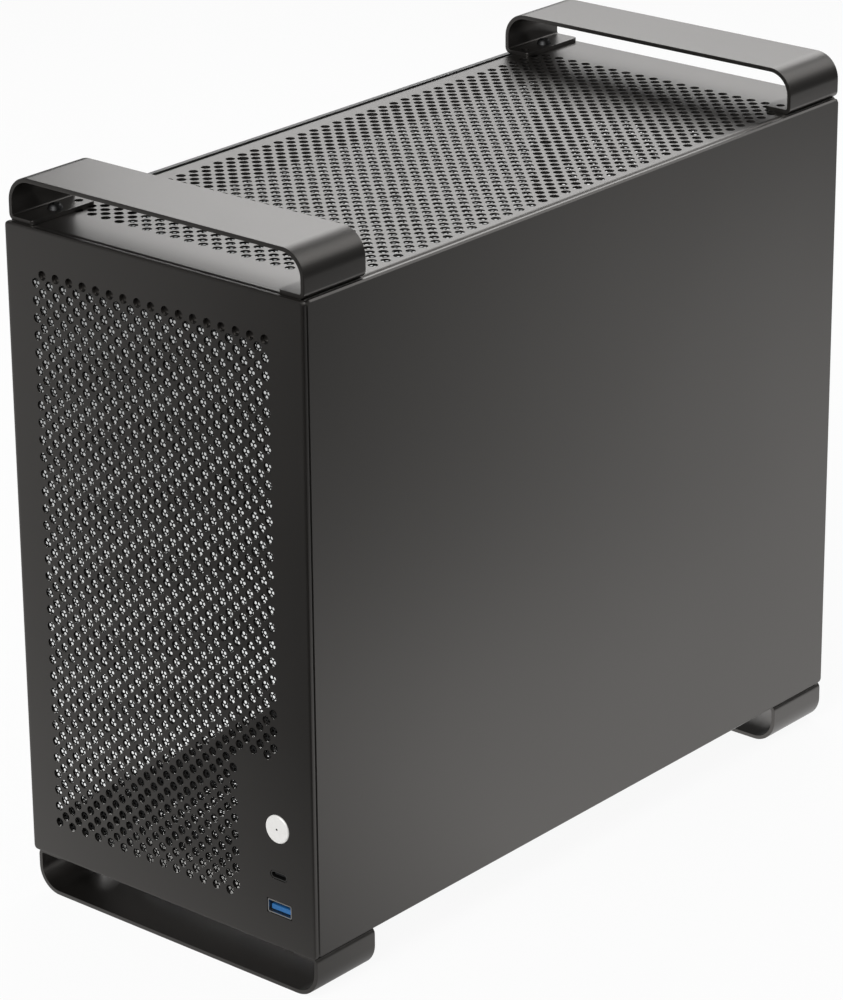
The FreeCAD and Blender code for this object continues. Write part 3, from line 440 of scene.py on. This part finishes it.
notch_x = control_x - notch_wide
notch_z = body_bottom + notch_tall
for vert in plate.verts:
    within = filter_low.x < vert.co.x < filter_high.x and filter_low.z < vert.co.z < filter_high.z
    if within and near(vert.co.y, plate_high.y) and (vert.co.x < notch_x or vert.co.z > notch_z):
        vert.co.y -= filter_pocket


def rim_edges(form, axis, level, low, high, reach):
    """Edges of one face's outline: on the level, and no further than reach from the outer box."""
    others = [a for a in range(3) if a != axis]

    def on_rim(co):
        margin = min(min(co[a] - low[a], high[a] - co[a]) for a in others)
        return near(co[axis], level) and margin < reach
    found = edges_where(form, on_rim)
    return [edge for edge in found if edge.calc_face_angle(0) > pi / 3]


def soften(form, edges, size, segments):
    bmesh.ops.bevel(form, geom=edges, offset=size, segments=segments, profile=0.5, affect="EDGES",
                    material=-1)


plate_edges = rim_edges(plate, 1, plate_low.y, plate_low, plate_high, plate_reach)
soften(plate, plate_edges, plate_rim, segments=2)
make_piece("front_plate", plate, black_aluminium, "case", "black_aluminium", "front_panel")

# Dust filters: thin black sheets pierced with a fine honeycomb, held flat behind the punched walls.
# The honeycomb is drawn as see-through cells, because each sheet has thousands of them.
cell_pitch = 2.05 * mm
cell_hole = 1.45 * mm
cell_rows = cell_pitch * sqrt(3)
filter_gauge = 0.1 * mm


def honeycomb(across, along, shift):
    """Distance from the middle of the nearest cell, in one of the two sets of rows."""
    u = ((across / cell_pitch + shift).math("FRACT") - 0.5) * cell_pitch
    v = ((along / cell_rows + shift).math("FRACT") - 0.5) * cell_rows
    return (u * u + v * v).math("SQRT")


def pierced_sheet(name, first, second):
    """Matt black film whose cells are cut through along two of the object's axes."""
    finish, place = new_finish(name)
    across = place.node("SeparateXYZ", {"Vector": place}, output=first)
    along = place.node("SeparateXYZ", {"Vector": place}, output=second)
    reach = honeycomb(across, along, 0.0).math("MINIMUM", honeycomb(across, along, 0.5))
    web = reach.math("GREATER_THAN", cell_hole / 2)
    weave = place.noise(900.0)
    surface(place, {
        "Base Color": weave.mix((0.010, 0.010, 0.010), (0.020, 0.020, 0.020)),
        "Roughness": 0.6 + 0.2 * weave,
        "Specular IOR Level": 0.08,
        "Alpha": web})
    return finish


def thin_slab(outline, thickness, matrix):
    """A flat piece from its outline in XY."""
    form = bmesh.new()
    form.faces.new([form.verts.new((x, y, 0)) for x, y in outline])
    raised = bmesh.ops.extrude_face_region(form, geom=form.faces[:])
    tops = [item for item in raised["geom"] if isinstance(item, bmesh.types.BMVert)]
    bmesh.ops.translate(form, vec=(0, 0, thickness), verts=tops)
    bmesh.ops.recalc_face_normals(form, faces=form.faces[:])
    return move(form, matrix)


front_outline = [(filter_low.x, filter_low.z), (notch_x, filter_low.z), (notch_x, notch_z),
                 (filter_high.x, notch_z), (filter_high.x, filter_high.z), (filter_low.x, filter_high.z)]
film_face = filter_low.y - filter_pocket
front_film = thin_slab(front_outline, -filter_gauge, Matrix.Translation((0, film_face, 0)) @ stands_y)
make_piece("front_filter", front_film, pierced_sheet("front_filter_mesh", "X", "Z"), "case", "filter_mesh",
           "front_dust_filter")
flat_filter_mesh = pierced_sheet("flat_filter_mesh", "X", "Y")
for side in ("top", "bottom"):
    low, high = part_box(side + "_dust_filter")
    against = high.z + tray_pocket - filter_gauge if side == "top" else low.z - tray_pocket
    film = thin_slab([(low.x, low.y), (high.x, low.y), (high.x, high.y), (low.x, high.y)], filter_gauge,
                     Matrix.Translation((0, 0, against)))
    make_piece(side + "_filter", film, flat_filter_mesh, "case", "filter_mesh", side + "_dust_filter")

# Rear pan: powder-coated steel with four flanges folded forwards, let in from the ends of the trays.
# It is cut for the connectors, four cards, a 92 mm fan and the mains socket.


def powder_coat(name, colour=(0.013, 0.013, 0.0135), peel=0.8 * mm):
    """Baked powder: matt black with a slight orange peel."""
    finish, place = new_finish(name)
    ripple = place.noise(1 / peel)
    dust = place.noise(60.0, 5.0)
    pale = [channel * 1.5 for channel in colour]
    surface(place, {
        "Base Color": dust.mix(colour, pale),
        "Roughness": 0.46 + 0.12 * dust,
        "IOR": 1.6,
        "Normal": ripple.bump(0.25, 0.06 * mm)})
    return finish


black_steel = powder_coat("black_powder_coat")
pan_low, pan_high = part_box("rear_panel")
cover_low, cover_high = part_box("slot_cover_1")
inlet_low, inlet_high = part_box("ac_inlet")
standoff_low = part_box("standoffs")[0]
cover_gauge = 0.9 * mm
ledge_depth = 10.5 * mm
ledge_slit = 1.2 * mm
ledge_border = 1 * mm
ledge_hole = 3 * mm
ledge_x = cover_low.x + cover_gauge
pan_face = pan_high.y - ledge_depth
pan_border = 3 * mm
pan_flange = 10 * mm
board_gauge = 1.6 * mm
board_face = standoff_low.x - board_gauge
past_board = 3.81 * mm
connector_right = board_face + past_board
connector_below = 29 * mm
connector_top = pan_high.z - connector_below
connector_wide = 44.45 * mm
connector_tall = 158.75 * mm
slot_tall = 12.5 * mm
slot_margin = 2 * mm
slot_left = ledge_x + sheet + slot_margin
slot_right = board_face + slot_margin
slot_pitch = 20.32 * mm
first_slot = (cover_low.z + cover_high.z) / 2
slot_levels = [first_slot - slot_pitch * index for index in range(4)]
ledge_low = slot_levels[-1] - slot_pitch / 2
ledge_high = slot_levels[0] + slot_pitch / 2
inlet_wide = 20.4 * mm
inlet_tall = 28 * mm
inlet_x = (inlet_low.x + inlet_high.x) / 2
inlet_z = (inlet_low.z + inlet_high.z) / 2
fan_x = (pan_low.x + connector_right - connector_wide) / 2
fan_below = 68.5 * mm
fan_z = pan_high.z - fan_below
fan_hole = 4.4 * mm
fan_spacing = 82.5 * mm
vent_pitch = 6.4 * mm
vent_hole = 4.2 * mm
vent_reach = 39 * mm
pan = rim_sheet(pan_low.x + bend, pan_low.z + bend, pan_high.x - bend, pan_high.z - bend, pan_border)
square_cut(pan, connector_right - connector_wide, connector_top - connector_tall,
           connector_right, connector_top)
for level in slot_levels:
    square_cut(pan, slot_left, level - slot_tall / 2, slot_right, level + slot_tall / 2)
square_cut(pan, ledge_x - ledge_slit, ledge_low, ledge_x, ledge_high)
square_cut(pan, inlet_x - inlet_wide / 2, inlet_z - inlet_tall / 2,
           inlet_x + inlet_wide / 2, inlet_z + inlet_tall / 2)
for across in (-1, 1):
    for along in (-1, 1):
        round_cut(pan, fan_x + across * fan_spacing / 2, fan_z + along * fan_spacing / 2, fan_hole)
vent_rows = int(vent_reach / (vent_pitch / 2))
for row in range(-vent_rows, vent_rows + 1):
    level = row * vent_pitch / 2
    offset = vent_pitch / 2 if row % 2 else 0
    half_count = int((sqrt(vent_reach ** 2 - level ** 2) - offset) / vent_pitch)
    first = -half_count * vent_pitch - offset
    count = 2 * half_count + 1 + row % 2
    vent_row = hole_row(vent_pitch, vent_hole, count)
    join(pan, move(vent_row, Matrix.Translation((fan_x + first, fan_z + level, 0))))
fill_sheet(pan)
for x, way in ((pan_low.x + bend, 1), (pan_high.x - bend, -1)):
    fold_and_drop(pan, edges_where(pan, lambda co: near(co.x, x)), (x, 0, bend), (0, 1, 0), way * pi / 2,
                  (0, 0, pan_flange - bend))
for y, way in ((pan_low.z + bend, -1), (pan_high.z - bend, 1)):
    fold_and_drop(pan, edges_where(pan, lambda co: near(co.y, y)), (0, y, bend), (1, 0, 0), way * pi / 2,
                  (0, 0, pan_flange - bend))
thicken(pan, sheet, Vector((0, 0, -1)))
move(pan, Matrix.Translation((0, pan_face, 0)) @ stands_y)
ledge = rim_sheet(pan_face - sheet, ledge_low, pan_high.y, ledge_high, ledge_border)
for level in slot_levels:
    round_cut(ledge, pan_face + ledge_depth / 2, level, ledge_hole)
move(fill_sheet(ledge), Matrix.Translation((ledge_x, 0, 0)) @ stands_x)
join(pan, thicken(ledge, sheet, Vector((-1, 0, 0))))
make_piece("rear_pan", pan, black_steel, "case", "black_steel", "rear_panel")

# Board tray and supply bracket: bent steel plates inside, coated like the rear pan.
# The tray stands off from the solid panel, and the bracket is screwed to its front edge.
for node in ("motherboard_tray", "psu_bracket"):
    stamp(node, black_steel)

# Standoffs: six-sided brass pillars pressed into the board tray, one for each hole of the board.
# Each is drilled down its middle for a board screw.


def plain_metal(name, colour, shine, streak=0.15 * mm):
    """Bare or plated metal with fine turning or drawing marks."""
    finish, place = new_finish(name)
    marks = place.noise(1 / streak, 3.0)
    tarnish = place.noise(140.0, 3.0)
    dull = [channel * 0.8 for channel in colour]
    surface(place, {
        "Base Color": tarnish.mix(dull, colour),
        "Metallic": 1.0,
        "Roughness": shine + 0.15 * marks,
        "Normal": marks.bump(0.12, 0.02 * mm)})
    return finish


stamp("standoffs", plain_metal("turned_brass", (0.66, 0.47, 0.20), 0.22))

# Socket board: a small circuit board on a steel bracket behind the bare corner of the front plate.
# It carries the switch and both sockets, whose plated shells stand in the plate's cut-outs.


def moulded(name, colour, shine, texture=0.25 * mm):
    """Moulded plastic with a fine spark-eroded skin."""
    finish, place = new_finish(name)
    skin = place.noise(1 / texture)
    tone = place.noise(90.0)
    pale = [channel * 1.3 for channel in colour]
    surface(place, {
        "Base Color": tone.mix(colour, pale),
        "Roughness": shine + 0.1 * skin,
        "Normal": skin.bump(0.12, 0.02 * mm)})
    return finish


def solder_mask(name):
    """Dark green lacquer over copper tracks that show as slightly raised bands."""
    finish, place = new_finish(name)
    tracks = place.node("TexBrick", {"Vector": place, "Scale": 420.0, "Mortar Size": 0.06}, output=1)
    surface(place, {
        "Base Color": tracks.mix((0.006, 0.020, 0.012), (0.012, 0.045, 0.026)),
        "Roughness": 0.32 + 0.1 * tracks,
        "Normal": tracks.bump(0.2, 0.03 * mm)})
    return finish


plated_shell = plain_metal("nickel_plate", (0.66, 0.65, 0.63), 0.24)
black_moulding = moulded("black_moulding", (0.010, 0.010, 0.011), 0.42)
stamp("io_board", solder_mask("solder_mask"))
stamp("io_bracket", black_steel)
stamp("usb_a_shell", plated_shell)
# The USB-C shell is the same nickel plate with its colour darkened, as painted shade.
stamp("usb_c_shell", plain_metal("nickel_painted_darker", (0.20, 0.195, 0.19), 0.3))
stamp("usb_a_tongue", moulded("blue_moulding", (0.02, 0.125, 0.33), 0.34))
stamp("usb_c_tongue", black_moulding)
stamp("power_switch", black_moulding)

# Power button: a disc turned from aluminium bar, with fine lathe rings on its face, a chamfered
# rim and a centre mark. Its stem bears on the switch.
button_face = button_low.y
disc_gauge = 2.4 * mm
button_back = button_face + disc_gauge
disc = (button_high.x - button_low.x) / 2
stem = 2.5 * mm
mark = 0.5 * mm
mark_depth = 0.3 * mm
rim_chamfer = 0.35 * mm
turning = [(0, button_face + mark_depth), (mark, button_face), (disc - rim_chamfer, button_face),
           (disc, button_face + rim_chamfer), (disc, button_back), (stem, button_back),
           (stem, button_high.y), (0, button_high.y)]


def lathe(outline, centre_x, centre_z, steps):
    """Turn a profile of (radius, depth) about an axis along Y."""
    fine_weld = weld / 10
    form = bmesh.new()
    points = [form.verts.new((centre_x + radius, depth, centre_z)) for radius, depth in outline]
    edges = [form.edges.new(pair) for pair in zip(points, points[1:])]
    bmesh.ops.spin(form, geom=points + edges, cent=(centre_x, 0, centre_z), axis=(0, 1, 0), angle=2 * pi,
                   steps=steps, use_merge=True)
    bmesh.ops.remove_doubles(form, verts=form.verts[:], dist=fine_weld)
    bmesh.ops.recalc_face_normals(form, faces=form.faces[:])
    return form


def turned_face(name, centre):
    """Bright aluminium whose lathe marks run in rings round the centre, with painted shade in the centre
    mark's dimple.
    """
    finish, place = new_finish(name)
    ring = 0.28 * mm
    radius = place.node("VectorMath", {0: place, 1: centre}, output="Value", operation="DISTANCE")
    groove = (radius * (2 * pi / ring)).math("SINE")
    wear = place.noise(700.0)
    bright = wear.mix((0.90, 0.885, 0.86), (0.95, 0.94, 0.92))
    surface(place, {
        # The centre mark's dimple is painted near black, as painted shade in the recess.
        "Base Color": radius.math("LESS_THAN", mark).mix(bright, (0.03, 0.03, 0.03)),
        "Metallic": 0.2,
        "Roughness": 0.42 + 0.12 * wear,
        "Normal": groove.bump(0.12, 0.03 * mm)})
    return finish


button_finish = turned_face("turned_aluminium", (control_x, button_face, button_z))
button_disc = lathe(turning, control_x, button_z, steps=56)
make_piece("button_disc", button_disc, button_finish, "button", "turned_aluminium", "power_button")

# Slot covers: thin coated strips behind the rear pan, each with a tab bent out onto the ledge.
# One screw through the tab holds each, so that it comes off for a card.
for index in range(1, 5):
    stamp("slot_cover_%d" % index, black_steel)

# Mains inlet: a moulded socket through the rear pan with three plated blades.
# Two screws hold it to the pan.
stamp("ac_inlet", moulded("inlet_moulding", (0.012, 0.012, 0.0125), 0.4))
stamp("ac_inlet_pins", plain_metal("plated_blade", (0.70, 0.66, 0.58), 0.24))

# Handles and feet: four loops bent from 2 mm aluminium strip, 38 mm wide and dyed like the plates.
# Each turns in under itself at both ends to a seat with a screw and a locating hole.
strip = 2 * mm
crown_radius = 12 * mm
seat_radius = 3 * mm
seat_length = 14.5 * mm
seat_corner = 2 * mm
locating_hole = 4 * mm
locating_edge = 4.6 * mm
edge_break = 0.25 * mm
crown_steps = 14
seat_steps = 5


def cut_away(form, tool):
    """Cut one closed form out of another."""
    pair = []
    for part in (form, tool):
        mesh = bpy.data.meshes.new("cutting")
        part.to_mesh(mesh)
        part.free()
        pair.append(bpy.data.objects.new("cutting", mesh))
        bpy.context.collection.objects.link(pair[-1])
    cut = pair[0].modifiers.new("cut", "BOOLEAN")
    cut.object = pair[1]
    cut.operation = "DIFFERENCE"
    cut.solver = "EXACT"
    result = bpy.data.meshes.new_from_object(pair[0].evaluated_get(bpy.context.evaluated_depsgraph_get()))
    left = bmesh.new()
    left.from_mesh(result)
    bpy.data.meshes.remove(result)
    for used in pair:
        bpy.data.meshes.remove(used.data)
    return left


def bent_loop(node, away, inner_end):
    """Bend one strip: away is +1 for a handle and -1 for a foot; inner_end is the locating hole's y."""
    low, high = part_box(node)
    side = high.x
    seat = low.z if away > 0 else high.z
    crown = high.z if away > 0 else low.z
    seat_edge = side - seat_length
    seat_inside = seat + away * strip
    crown_inside = crown - away * strip
    corners = [(side, crown, crown_radius), (side, seat, seat_radius), (seat_edge, seat, 0),
               (seat_edge, seat_inside, 0), (side - strip, seat_inside, seat_radius - strip),
               (side - strip, crown_inside, crown_radius - strip)]
    corners += [(-x, z, radius) for x, z, radius in reversed(corners)]
    form = bmesh.new()
    points = [form.verts.new((x, low.y, z)) for x, z, radius in corners]
    form.faces.new(points)
    for point, (x, z, radius) in zip(points, corners):
        if radius:
            steps = crown_steps if radius > seat_radius else seat_steps
            bmesh.ops.bevel(form, geom=[point], offset=radius, segments=steps, profile=0.5,
                            affect="VERTICES", material=-1)
    swept = bmesh.ops.extrude_face_region(form, geom=form.faces[:])
    moved = [item for item in swept["geom"] if isinstance(item, bmesh.types.BMVert)]
    bmesh.ops.translate(form, vec=(0, high.y - low.y, 0), verts=moved)
    bmesh.ops.recalc_face_normals(form, faces=form.faces[:])
    ends = [edge for edge in edges_where(form, lambda co: near(abs(co.x), seat_edge))
            if near(edge.verts[0].co.y, edge.verts[1].co.y)]
    soften(form, ends, seat_corner, segments=4)
    sharp = [edge for edge in form.edges if edge.calc_face_angle(0) > pi / 3]
    soften(form, sharp, edge_break, segments=2)
    drill = bmesh.new()
    for x in (-seat_x, seat_x):
        for y, size in (((low.y + high.y) / 2, seat_hole), (inner_end, locating_hole)):
            bmesh.ops.create_cone(drill, cap_ends=True, segments=24, radius1=size / 2, radius2=size / 2,
                                  depth=3 * strip, matrix=Matrix.Translation((x, y, seat)))
    form = cut_away(form, drill)
    make_piece(node.replace("handle", "carry_handle").replace("foot", "strip_foot"), form, black_aluminium,
               "case", "black_aluminium", node)


front_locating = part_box("front_handle")[1].y - locating_edge
rear_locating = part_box("rear_handle")[0].y + locating_edge
for kind, away in (("handle", 1), ("foot", -1)):
    bent_loop("front_" + kind, away, front_locating)
    bent_loop("rear_" + kind, away, rear_locating)

# Screws: black steel, button heads with a hexagon socket on the handles and feet.
# The small ones inside and at the rear keep the plain heads of the model.
dark_screw = plain_metal("black_zinc_screw", (0.06, 0.06, 0.061), 0.42)
for node in ("front_panel_screws", "slot_screws", "ac_inlet_screws", "psu_bracket_screws", "io_screws"):
    stamp(node, dark_screw)


def button_head(radius, tall, shank, reach):
    """A domed head with a hexagon socket over a plain shank, pointing down from the origin."""
    sides = 24
    shank_sides = 16
    brow_radius = radius * 0.86
    brow_level = tall * 0.66
    flat_radius = radius * 0.62
    key_radius = radius * 0.46
    key_depth = tall * 0.6
    form = bmesh.new()
    skirt = bmesh.ops.create_circle(form, radius=radius, segments=sides)["verts"]
    brow = bmesh.ops.create_circle(form, radius=brow_radius, segments=sides,
                                   matrix=Matrix.Translation((0, 0, brow_level)))["verts"]
    flat = bmesh.ops.create_circle(form, radius=flat_radius, segments=sides,
                                   matrix=Matrix.Translation((0, 0, tall)))["verts"]
    for lower, upper in ((skirt, brow), (brow, flat)):
        loops = [edge for edge in form.edges if all(vert in lower or vert in upper for vert in edge.verts)]
        bmesh.ops.bridge_loops(form, edges=[edge for edge in loops if len(edge.link_faces) < 2])
    hexagon = bmesh.ops.create_circle(form, radius=key_radius, segments=6,
                                      matrix=Matrix.Translation((0, 0, tall)))
    top = [edge for edge in form.edges if all(near(vert.co.z, tall) for vert in edge.verts)]
    bmesh.ops.triangle_fill(form, edges=top, use_beauty=True, normal=(0, 0, 1))
    wall = [edge for edge in form.edges if all(vert in hexagon["verts"] for vert in edge.verts)]
    sunk = bmesh.ops.extrude_edge_only(form, edges=wall)["geom"]
    bmesh.ops.translate(form, vec=(0, 0, -key_depth),
                        verts=[item for item in sunk if isinstance(item, bmesh.types.BMVert)])
    bmesh.ops.edgeloop_fill(form, edges=[item for item in sunk if isinstance(item, bmesh.types.BMEdge)])
    base = [edge for edge in form.edges if all(near(vert.co.z, 0) for vert in edge.verts)]
    bmesh.ops.edgeloop_fill(form, edges=base)
    bmesh.ops.recalc_face_normals(form, faces=form.faces[:])
    bmesh.ops.create_cone(form, cap_ends=True, segments=shank_sides, radius1=shank, radius2=shank,
                          depth=reach, matrix=Matrix.Translation((0, 0, -reach / 2)))
    return form


head_tall = 2.2 * mm
shank_radius = 1.8 * mm
for node, away in (("handle_screws", 1), ("foot_screws", -1)):
    low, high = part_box(node)
    under_head = high.z - head_tall if away > 0 else low.z + head_tall
    facing = Matrix.Identity(4) if away > 0 else Matrix.Rotation(pi, 4, "X")
    group = bmesh.new()
    for x in (-seat_x, seat_x):
        for y in seat_y:
            one = button_head(head_radius, head_tall, shank_radius, high.z - low.z - head_tall)
            join(group, move(one, Matrix.Translation((x, y, under_head)) @ facing))
    make_piece(node.replace("screws", "button_heads"), group, dark_screw, "case", "dark_screw", node)

# Solid side panel: one sheet of the dyed aluminium with a chamfered rim, pulled straight off.
# Ball studs on its inner face snap into plastic clips behind the trays' lips.
panel_border = 2 * mm
panel_corner = 2.5 * mm
panel_reach = 2.7 * mm
panel_chamfer = 0.8 * mm


def plain_panel(node, name, axis_out, finish, body, slot, chamfer):
    """A flat panel with rounded corners, chamfered round its outer face."""
    low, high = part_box(node)
    outer = high.x if axis_out > 0 else low.x
    form = rim_sheet(low.y, low.z, high.y, high.z, panel_border, panel_corner)
    move(fill_sheet(form), Matrix.Translation((outer, 0, 0)) @ stands_x)
    thicken(form, high.x - low.x, Vector((axis_out, 0, 0)))
    soften(form, rim_edges(form, 0, outer, low, high, panel_reach), chamfer, segments=1)
    make_piece(name, form, finish, body, slot, node)


plain_panel("right_side_panel", "solid_side", 1, black_aluminium, "side_panel", "black_aluminium",
            panel_chamfer)
stud_steel = plain_metal("turned_stud", (0.56, 0.56, 0.57), 0.25)


def ball_studs(node, name, body, root_x, inward):
    """Turned studs: a foot, a neck and a ball, along X from the panel."""
    low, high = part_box(node)
    ball = stud_radius
    neck = 1.5 * mm
    flare = 0.8 * mm
    foot_rim = 0.3 * mm
    length = high.x - low.x
    arc = [(ball * sin(angle), ball + ball * cos(angle)) for angle in (0.0, 0.5, 1.0, 1.5, 2.0, 2.4)]
    profile = arc + [(neck, length - flare), (neck + flare, length - foot_rim),
                     (neck + flare, length), (0, length)]
    group = bmesh.new()
    quarter = Matrix.Rotation(pi / 2 * inward, 4, "Z")
    for y in stud_y:
        for z in (stud_low.z + stud_flat, stud_high.z - stud_flat):
            one = lathe([(radius, depth - length) for radius, depth in profile], 0, 0, steps=20)
            join(group, move(one, Matrix.Translation((root_x, y, z)) @ quarter))
    make_piece(name, group, stud_steel, body, "stud_steel", node)


ball_studs("side_panel_studs", "solid_side_studs", "side_panel", stud_high.x, -1)
stamp("side_panel_clips", black_moulding)

# Glass side: toughened glass with ground edges and a black border printed on its inner face.
# It is bonded to two black strips that carry its studs, and pulls off as the solid panel does.
printed_border = 8 * mm
ground_edge = 0.65 * mm
print_depth = 0.05 * mm
glass_chamfer = 0.6 * mm


def clear_glass(name, low, high):
    """Nearly clear glass in a box, grey where it is ground and printed black round its inner face."""
    finish, place = new_finish(name)
    film = place.noise(25.0, 4.0)
    middle = (low + high) / 2
    x, y, z = [place.node("SeparateXYZ", {"Vector": place}, output=axis) for axis in "XYZ"]
    from_y = (y - middle.y).math("ABSOLUTE")
    from_z = (z - middle.z).math("ABSOLUTE")

    def rim(width):
        """1 within this width of the panel's outline, and 0 elsewhere."""
        beyond_y = from_y.math("GREATER_THAN", (high.y - low.y) / 2 - width)
        beyond_z = from_z.math("GREATER_THAN", (high.z - low.z) / 2 - width)
        return beyond_y.math("MAXIMUM", beyond_z)

    ground = rim(ground_edge)
    inside = x.math("GREATER_THAN", high.x - print_depth)
    bare = ground.mix((0.96, 0.975, 0.97), (0.10, 0.11, 0.105))
    surface(place, {
        "Base Color": (rim(printed_border) * inside).mix(bare, (0.0003, 0.0003, 0.0003)),
        "Roughness": 0.004 + 0.012 * film + 0.4 * ground,
        "Transmission Weight": 1.0,
        "IOR": 1.5})
    return finish


bordered_glass = clear_glass("clear_glass", *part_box("left_glass_panel"))
plain_panel("left_glass_panel", "glass_side", -1, bordered_glass, "glass_panel", "tinted_glass",
            glass_chamfer)
bond_print = moulded("black_bond_strip", (0.008, 0.008, 0.0085), 0.55)
for node in ("glass_top_strip", "glass_bottom_strip"):
    stamp(node, bond_print)
ball_studs("glass_studs", "glass_side_studs", "glass_panel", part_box("glass_studs")[0].x, 1)
stamp("glass_clips", black_moulding)

# Stage: a pale floor and background round the case, lit by large soft boxes.
# The floor takes the shadows, and counts as plain white only where it is seen as background.
# For mirrored rays the floor glows with a painted wash of light that fades unevenly, with painted pools of
# shade and light, in place of a lit studio floor.
camera_data = bpy.data.cameras.new("camera")
camera_data.lens = 149.4875
camera_data.sensor_width = 36
camera = bpy.data.objects.new("camera", camera_data)
bpy.context.collection.objects.link(camera)
eye = Vector((1147.1, -1358.7, 867.3)) * mm
target = Vector((-12.65, 0, 150.79)) * mm
roll = radians(-0.496)
back = (eye - target).normalized()
right = Vector((0, 0, 1)).cross(back).normalized()
up = back.cross(right)
leaning_right = right * cos(roll) + up * sin(roll)
leaning_up = up * cos(roll) - right * sin(roll)
axes = Matrix((leaning_right, leaning_up, back)).transposed()
camera.matrix_world = Matrix.Translation(eye) @ axes.to_4x4()
bpy.context.scene.camera = camera
bpy.context.scene.view_settings.view_transform = "Standard"

floor_reach = 4
floor_drop = 0.1 * mm
floor_form = bmesh.new()
bmesh.ops.create_grid(floor_form, x_segments=1, y_segments=1, size=floor_reach)
bmesh.ops.translate(floor_form, vec=(0, 0, -floor_drop), verts=floor_form.verts[:])
floor_mesh = bpy.data.meshes.new("floor")
floor_form.to_mesh(floor_mesh)
floor_form.free()
floor = bpy.data.objects.new("floor", floor_mesh)
bpy.context.collection.objects.link(floor)
floor_finish, place = new_finish("pale_floor")
floor_mesh.materials.append(floor_finish)


def pool(x, y, reach, full=0.0):
    """A soft round patch of the floor, as a share that is 1 up to full and fades out at its reach."""
    away = place.node("VectorMath", {0: place, 1: (x, y, 0)}, output="Value", operation="DISTANCE")
    return place.node("MapRange", {"Value": away, "From Min": full, "From Max": reach,
                                   "To Min": 1.0, "To Max": 0.0}, interpolation_type="SMOOTHSTEP")


floor_x = place.node("SeparateXYZ", {"Vector": place}, output="X")
floor_y = place.node("SeparateXYZ", {"Vector": place}, output="Y")
# Painted light and shade in the floor's glow, seen only in reflections: a wash brighter to the back left,
# two painted pools of shade, one of light, fading out far away.
front_shade = 0.6 * pool(-0.3, -0.75, 0.7)
left_shade = 0.7 * pool(-0.8, 0.25, 0.8)
near_light = 0.55 * pool(0.2, 0.05, 0.4)
painted_floor_wash = (0.85 - 2.4 * floor_x + 2.0 * floor_y).math("MINIMUM", 1.0)
painted_floor_wash = (painted_floor_wash - front_shade - left_shade).math("MAXIMUM", 0.0)
painted_floor_wash = (painted_floor_wash + near_light).math("MINIMUM", 1.0) * pool(0, 0, 2.0, full=0.7)


def shown(socket):
    """1 for rays that come straight from the camera or through glass, and 0 for others."""
    through_glass = socket.node("LightPath", output="Is Transmission Ray")
    return socket.node("LightPath", output="Is Camera Ray") + through_glass


white_share = 0.93
mirrored = place.node("LightPath", output="Is Glossy Ray")
paper = place.node("BsdfDiffuse", {"Color": (0.85, 0.85, 0.85, 1)})
glow = place.node("Emission", {"Color": mirrored.mix((1, 1, 1), painted_floor_wash), "Strength": 1})
lit_floor = place.node("MixShader", {0: white_share * shown(place) + mirrored, 1: paper, 2: glow})
place.node("OutputMaterial", {"Surface": lit_floor})

world = bpy.data.worlds.new("studio")
bpy.context.scene.world = world
world.use_nodes = True
world.node_tree.nodes.clear()
sky = Value(world.node_tree)
dim_fill = 0.11
shade_fill = 0.21
sky_fill = dim_fill + shade_fill * sky.node("LightPath", output="Is Diffuse Ray") + shown(sky)
sky.node("OutputWorld", {"Surface": sky.node("Background", {
    "Color": sky_fill.mix((0, 0, 0), (1, 1, 1)), "Strength": 1})})


def soft_box(name, place, aim, width, height, power):
    """A large rectangular lamp that faces a point of the case."""
    lamp_data = bpy.data.lights.new(name, "AREA")
    lamp_data.shape = "RECTANGLE"
    lamp_data.size = width
    lamp_data.size_y = height
    lamp_data.energy = power
    lamp = bpy.data.objects.new(name, lamp_data)
    bpy.context.collection.objects.link(lamp)
    facing = (Vector(aim) - Vector(place)).to_track_quat("-Z", "Y").to_matrix().to_4x4()
    lamp.matrix_world = Matrix.Translation(place) @ facing


soft_box("back_box", place=(-0.62, 1.0, 0.95), aim=(0, 0, 0.3), width=1.0, height=0.7, power=6)
soft_box("side_box", place=(0.75, 1.5, 1.5), aim=(0, 0, 0.3), width=1.6, height=1.0, power=7)
soft_box("front_box", place=(0.3, -1.6, 1.4), aim=(0, 0, 0.2), width=1.0, height=1.0, power=28)
